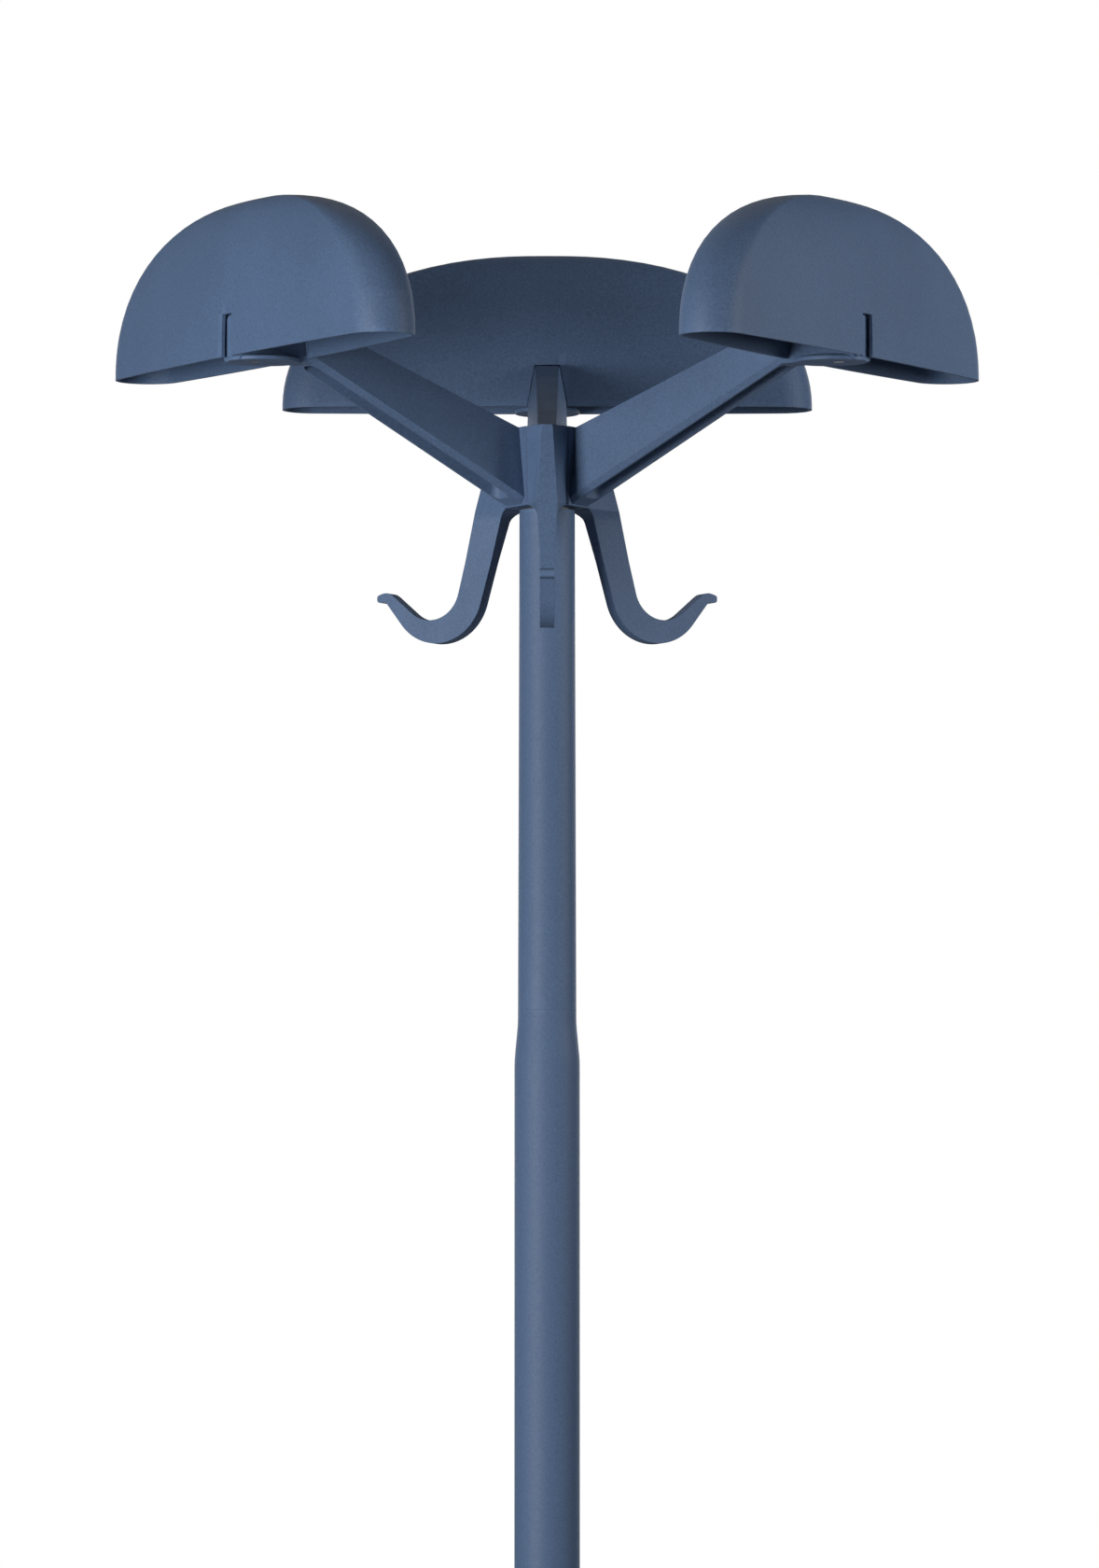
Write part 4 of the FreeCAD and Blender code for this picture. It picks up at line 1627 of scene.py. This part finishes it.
@dataclass
class Foot:
    """The spun cover, the collar round the tube and the ribbed rubber pad."""

    radius: float = 0.190
    cover_base: float = 0.003
    rim_top: float = 0.025
    seat_radius: float = 0.045
    seat_top: float = 0.034
    bore: float = 0.0238
    rim_round: float = 0.008
    rim_end: tuple[float, float] = (0.0076, 0.00005)  # of the rounding, in from the edge and down
    rim_steps: int = 10
    dome_steps: int = 14
    dome_dish: float = 0.04  # how far the dome's slope sags, as a share of its rise
    edge_round: float = 0.4 * MM
    wall: float = 0.002
    collar_radius: float = 0.034
    collar_height: float = 0.012
    collar_bore: float = 0.02365
    collar_chamfer: float = 0.003
    collar_round: float = 0.8 * MM
    pad_radius: float = 0.180
    pad_height: float = 0.005
    groove_count: int = 4
    groove_width: float = 3 * MM
    groove_gap: float = 9 * MM
    groove_wall: float = 1 * MM
    groove_depth: float = 1.2 * MM
    spin_steps: int = 144

    def turn(self, work: Workpiece) -> bpy.types.Object:
        """Spins a drawn profile once round the column's axis.

        Args:
            work: the profile.

        Returns:
            The turned object.
        """
        work.all()
        bpy.ops.mesh.spin(steps=self.spin_steps, angle=FULL_TURN, center=(0, 0, 0), axis=(0, 0, 1))
        work.merge()
        work.face_outwards()
        return work.close()

    def cover(self) -> bpy.types.Object:
        """Spins the domed cover and gives it its wall.

        Returns:
            The cover.
        """
        work = Workpiece.point("foot_cover", (self.radius, 0, self.cover_base))
        work.line_to(self.radius, self.rim_top - self.rim_round)
        work.arc_to(self.radius - self.rim_end[0], self.rim_top - self.rim_end[1],
                    (self.radius - self.rim_round, self.rim_top - self.rim_round), self.rim_steps)
        start = work.selected_spots()[0]
        for step in range(1, self.dome_steps + 1):
            share = step / self.dome_steps
            eased = share - self.dome_dish * math.sin(math.pi * share)
            work.line_to(start.x + (self.seat_radius - start.x) * share,
                         start.z + (self.seat_top - start.z) * eased)
        work.line_to(self.bore, self.seat_top)
        piece = self.turn(work)
        modify(piece, "SOLIDIFY", thickness=self.wall, offset=-1.0, use_even_offset=True)
        round_edges(piece, self.edge_round, segments=2, from_angle=50.0)
        smooth(piece, angle=30.0)
        return piece

    def collar(self) -> bpy.types.Object:
        """Spins the chamfered collar.

        Returns:
            The collar.
        """
        base, top = self.seat_top, self.seat_top + self.collar_height
        bore, outside, chamfer = self.collar_bore, self.collar_radius, self.collar_chamfer
        work = Workpiece.point("foot_collar", (bore, 0, base))
        for x, z in ((outside, base), (outside, top - chamfer), (outside - chamfer, top), (bore, top),
                     (bore, base)):
            work.line_to(x, z)
        piece = self.turn(work)
        round_edges(piece, self.collar_round, from_angle=30.0)
        smooth(piece, angle=30.0)
        return piece

    def pad(self) -> bpy.types.Object:
        """Builds the rubber pad with ring grooves pressed in its underside.

        Returns:
            The pad.
        """
        work = Workpiece.disc("foot_pad_ribbed", self.spin_steps, self.pad_radius, (0, 0, 0))
        work.extrude((0, 0, self.pad_height))
        work.face_outwards()
        work.pick(lambda spot: abs(spot.z) < HAIR, Pick.FACE)
        for _ in range(self.groove_count):
            for width, sink in ((self.groove_gap, self.groove_depth),
                                (self.groove_width, -self.groove_depth)):
                bpy.ops.mesh.inset(thickness=width)
                bpy.ops.mesh.inset(thickness=self.groove_wall)
                work.move((0, 0, sink))
        piece = work.close()
        round_edges(piece, self.edge_round, segments=2, from_angle=40.0)
        smooth(piece, angle=30.0)
        return piece

    def build(self, finishes: Finishes) -> None:
        """Builds and dresses the foot's visible pieces.

        Args:
            finishes: the stand's finishes.
        """
        dress(self.cover(), finishes.coat, "stand", "painted_tube", "base_cover")
        dress(self.collar(), finishes.coat, "stand", "painted_tube", "base_collar")
        dress(self.pad(), finishes.rubber, "stand", "rubber", "foot_pad")


# ------------------------------------------------------------------ CAD nodes that stay

@dataclass
class CarriedParts:
    """CAD nodes whose shape is right and that only get a finish."""

    nodes: dict[str, bpy.types.Object]
    zinc: tuple[str, ...] = ("foot_plug", "foot_washer_ring", "foot_bolt", "joint_sleeve", "spindle",
                             "spindle_washer", "spindle_nut", "cap_screws", "shell_screws")
    coat: tuple[str, ...] = ("top_plug",)
    acetal: tuple[str, ...] = ("thrust_washer_ring", "hub_bush")
    moulding: tuple[str, ...] = ("hub_core", "hub_cap")
    iron: tuple[str, ...] = ("base_weight",)

    def dress(self, finishes: Finishes) -> None:
        """Gives every carried node its finish.

        Args:
            finishes: the stand's finishes.
        """
        for names, material in ((self.zinc, finishes.zinc), (self.acetal, finishes.acetal),
                                (self.moulding, finishes.inner_moulding), (self.iron, finishes.iron),
                                (self.coat, finishes.coat)):
            for name in names:
                repaint(self.nodes[name], material)


# ------------------------------------------------------------------ studio

@dataclass(frozen=True)
class SoftBox:
    """One rectangular lamp, turned to a height on the column's axis; sizes in metres, power in watts."""

    name: str
    place: tuple[float, float, float]
    aim: float
    size: tuple[float, float]
    power: float

    def hang(self) -> None:
        """Adds the lamp to the scene."""
        data = bpy.data.lights.new(self.name, "AREA")
        data.shape = "RECTANGLE"
        data.size, data.size_y = self.size
        data.energy = self.power
        lamp = bpy.data.objects.new(self.name, data)
        bpy.context.scene.collection.objects.link(lamp)
        lamp.location = self.place
        beam = Vector((0, 0, self.aim)) - Vector(self.place)
        lamp.rotation_euler = beam.to_track_quat("-Z", "Y").to_euler()


@dataclass
class Studio:
    """Pale floor, white surround, five soft boxes and the camera."""

    eye: tuple[float, float, float] = (0.0017, -9.375, 0.650)
    pitch: float = 4.39
    lens: float = 299.8
    sensor: float = 36.0
    farthest: float = 300.0
    surround: float = 0.05
    floor_tints: tuple[float, float] = (0.34, 0.36)
    floor_roughness: float = 0.8
    floor_glow: float = 0.55
    floor_size: float = 300.0
    floor_gap: float = 0.3 * MM
    boxes: tuple[SoftBox, ...] = (
        SoftBox("key_light", (-1.9, -2.3, 1.35), 1.6, (1.2, 1.4), 84.0),
        SoftBox("side_light", (1.6, -0.4, 1.85), 1.6, (0.8, 0.9), 15.0),
        SoftBox("back_light_left", (-1.2, 3.0, 1.9), 1.0, (1.5, 1.8), 16.0),
        SoftBox("back_light_right", (1.4, 2.9, 1.7), 1.0, (1.5, 1.8), 16.0),
        SoftBox("top_light", (0.0, 1.7, 3.3), 1.0, (2.0, 2.0), 8.0))

    def floor(self) -> None:
        """Lays a pale floor that glows softly where the camera sees it and lights nothing."""
        clear_selection()
        bpy.ops.mesh.primitive_plane_add(size=self.floor_size, location=(0, 0, -self.floor_gap))
        floor = bpy.context.object
        floor.name = "studio_floor"
        board = Board("floor_paint")
        shades = [tint(WHITE, shade) for shade in self.floor_tints]
        board.feed(board.shader.inputs["Base Color"], board.blend(board.noise(1.5), *shades))
        board.shader.inputs["Roughness"].default_value = self.floor_roughness
        seen = Wire(board, board.node("ShaderNodeLightPath", {}, {}).outputs["Is Camera Ray"])
        board.feed(board.shader.inputs["Emission Color"],
                   board.blend(seen, BLACK, tint(WHITE, self.floor_glow)))
        board.shader.inputs["Emission Strength"].default_value = 1.0
        floor.data.materials.append(board.material)

    def world(self) -> None:
        """Lights the scene evenly and shows plain white behind the stand."""
        world = bpy.data.worlds.new("studio")
        bpy.context.scene.world = world
        world.use_nodes = True
        tree = world.node_tree
        tree.nodes.clear()
        output = tree.nodes.new("ShaderNodeOutputWorld")
        mix = tree.nodes.new("ShaderNodeMixShader")
        path = tree.nodes.new("ShaderNodeLightPath")
        tree.links.new(path.outputs["Is Camera Ray"], mix.inputs[0])
        for number, strength in ((1, self.surround), (2, 1.0)):
            background = tree.nodes.new("ShaderNodeBackground")
            background.inputs["Color"].default_value = WHITE
            background.inputs["Strength"].default_value = strength
            tree.links.new(background.outputs[0], mix.inputs[number])
        tree.links.new(mix.outputs[0], output.inputs[0])

    def camera(self) -> None:
        """Sets the camera up."""
        data = bpy.data.cameras.new("camera")
        data.lens = self.lens
        data.sensor_width = self.sensor
        data.clip_end = self.farthest
        camera = bpy.data.objects.new("camera", data)
        bpy.context.scene.collection.objects.link(camera)
        camera.location = self.eye
        camera.rotation_euler = (math.radians(90 + self.pitch), 0, 0)
        bpy.context.scene.camera = camera

    def build(self) -> None:
        """Sets up floor, surround, lights and camera."""
        self.floor()
        self.world()
        for box in self.boxes:
            box.hang()
        self.camera()
        bpy.context.scene.view_settings.view_transform = "Standard"
        bpy.context.scene.view_settings.look = "None"
        log.info("studio: floor, surround, five soft boxes and camera")


def main() -> None:
    """Builds every sub-assembly in order."""
    logging.basicConfig(level=logging.INFO, format="%(name)s %(message)s")
    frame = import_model()
    levels = Levels.read()
    finishes = Finishes()
    Foot().build(finishes)
    Column(levels).build(finishes)
    Arms(levels).build(finishes)
    HangerShells(levels).build(finishes)
    CoatHooks(levels).build(finishes)
    CarriedParts(frame["nodes"]).dress(finishes)
    Studio().build()


if __name__ == "__main__":
    main()
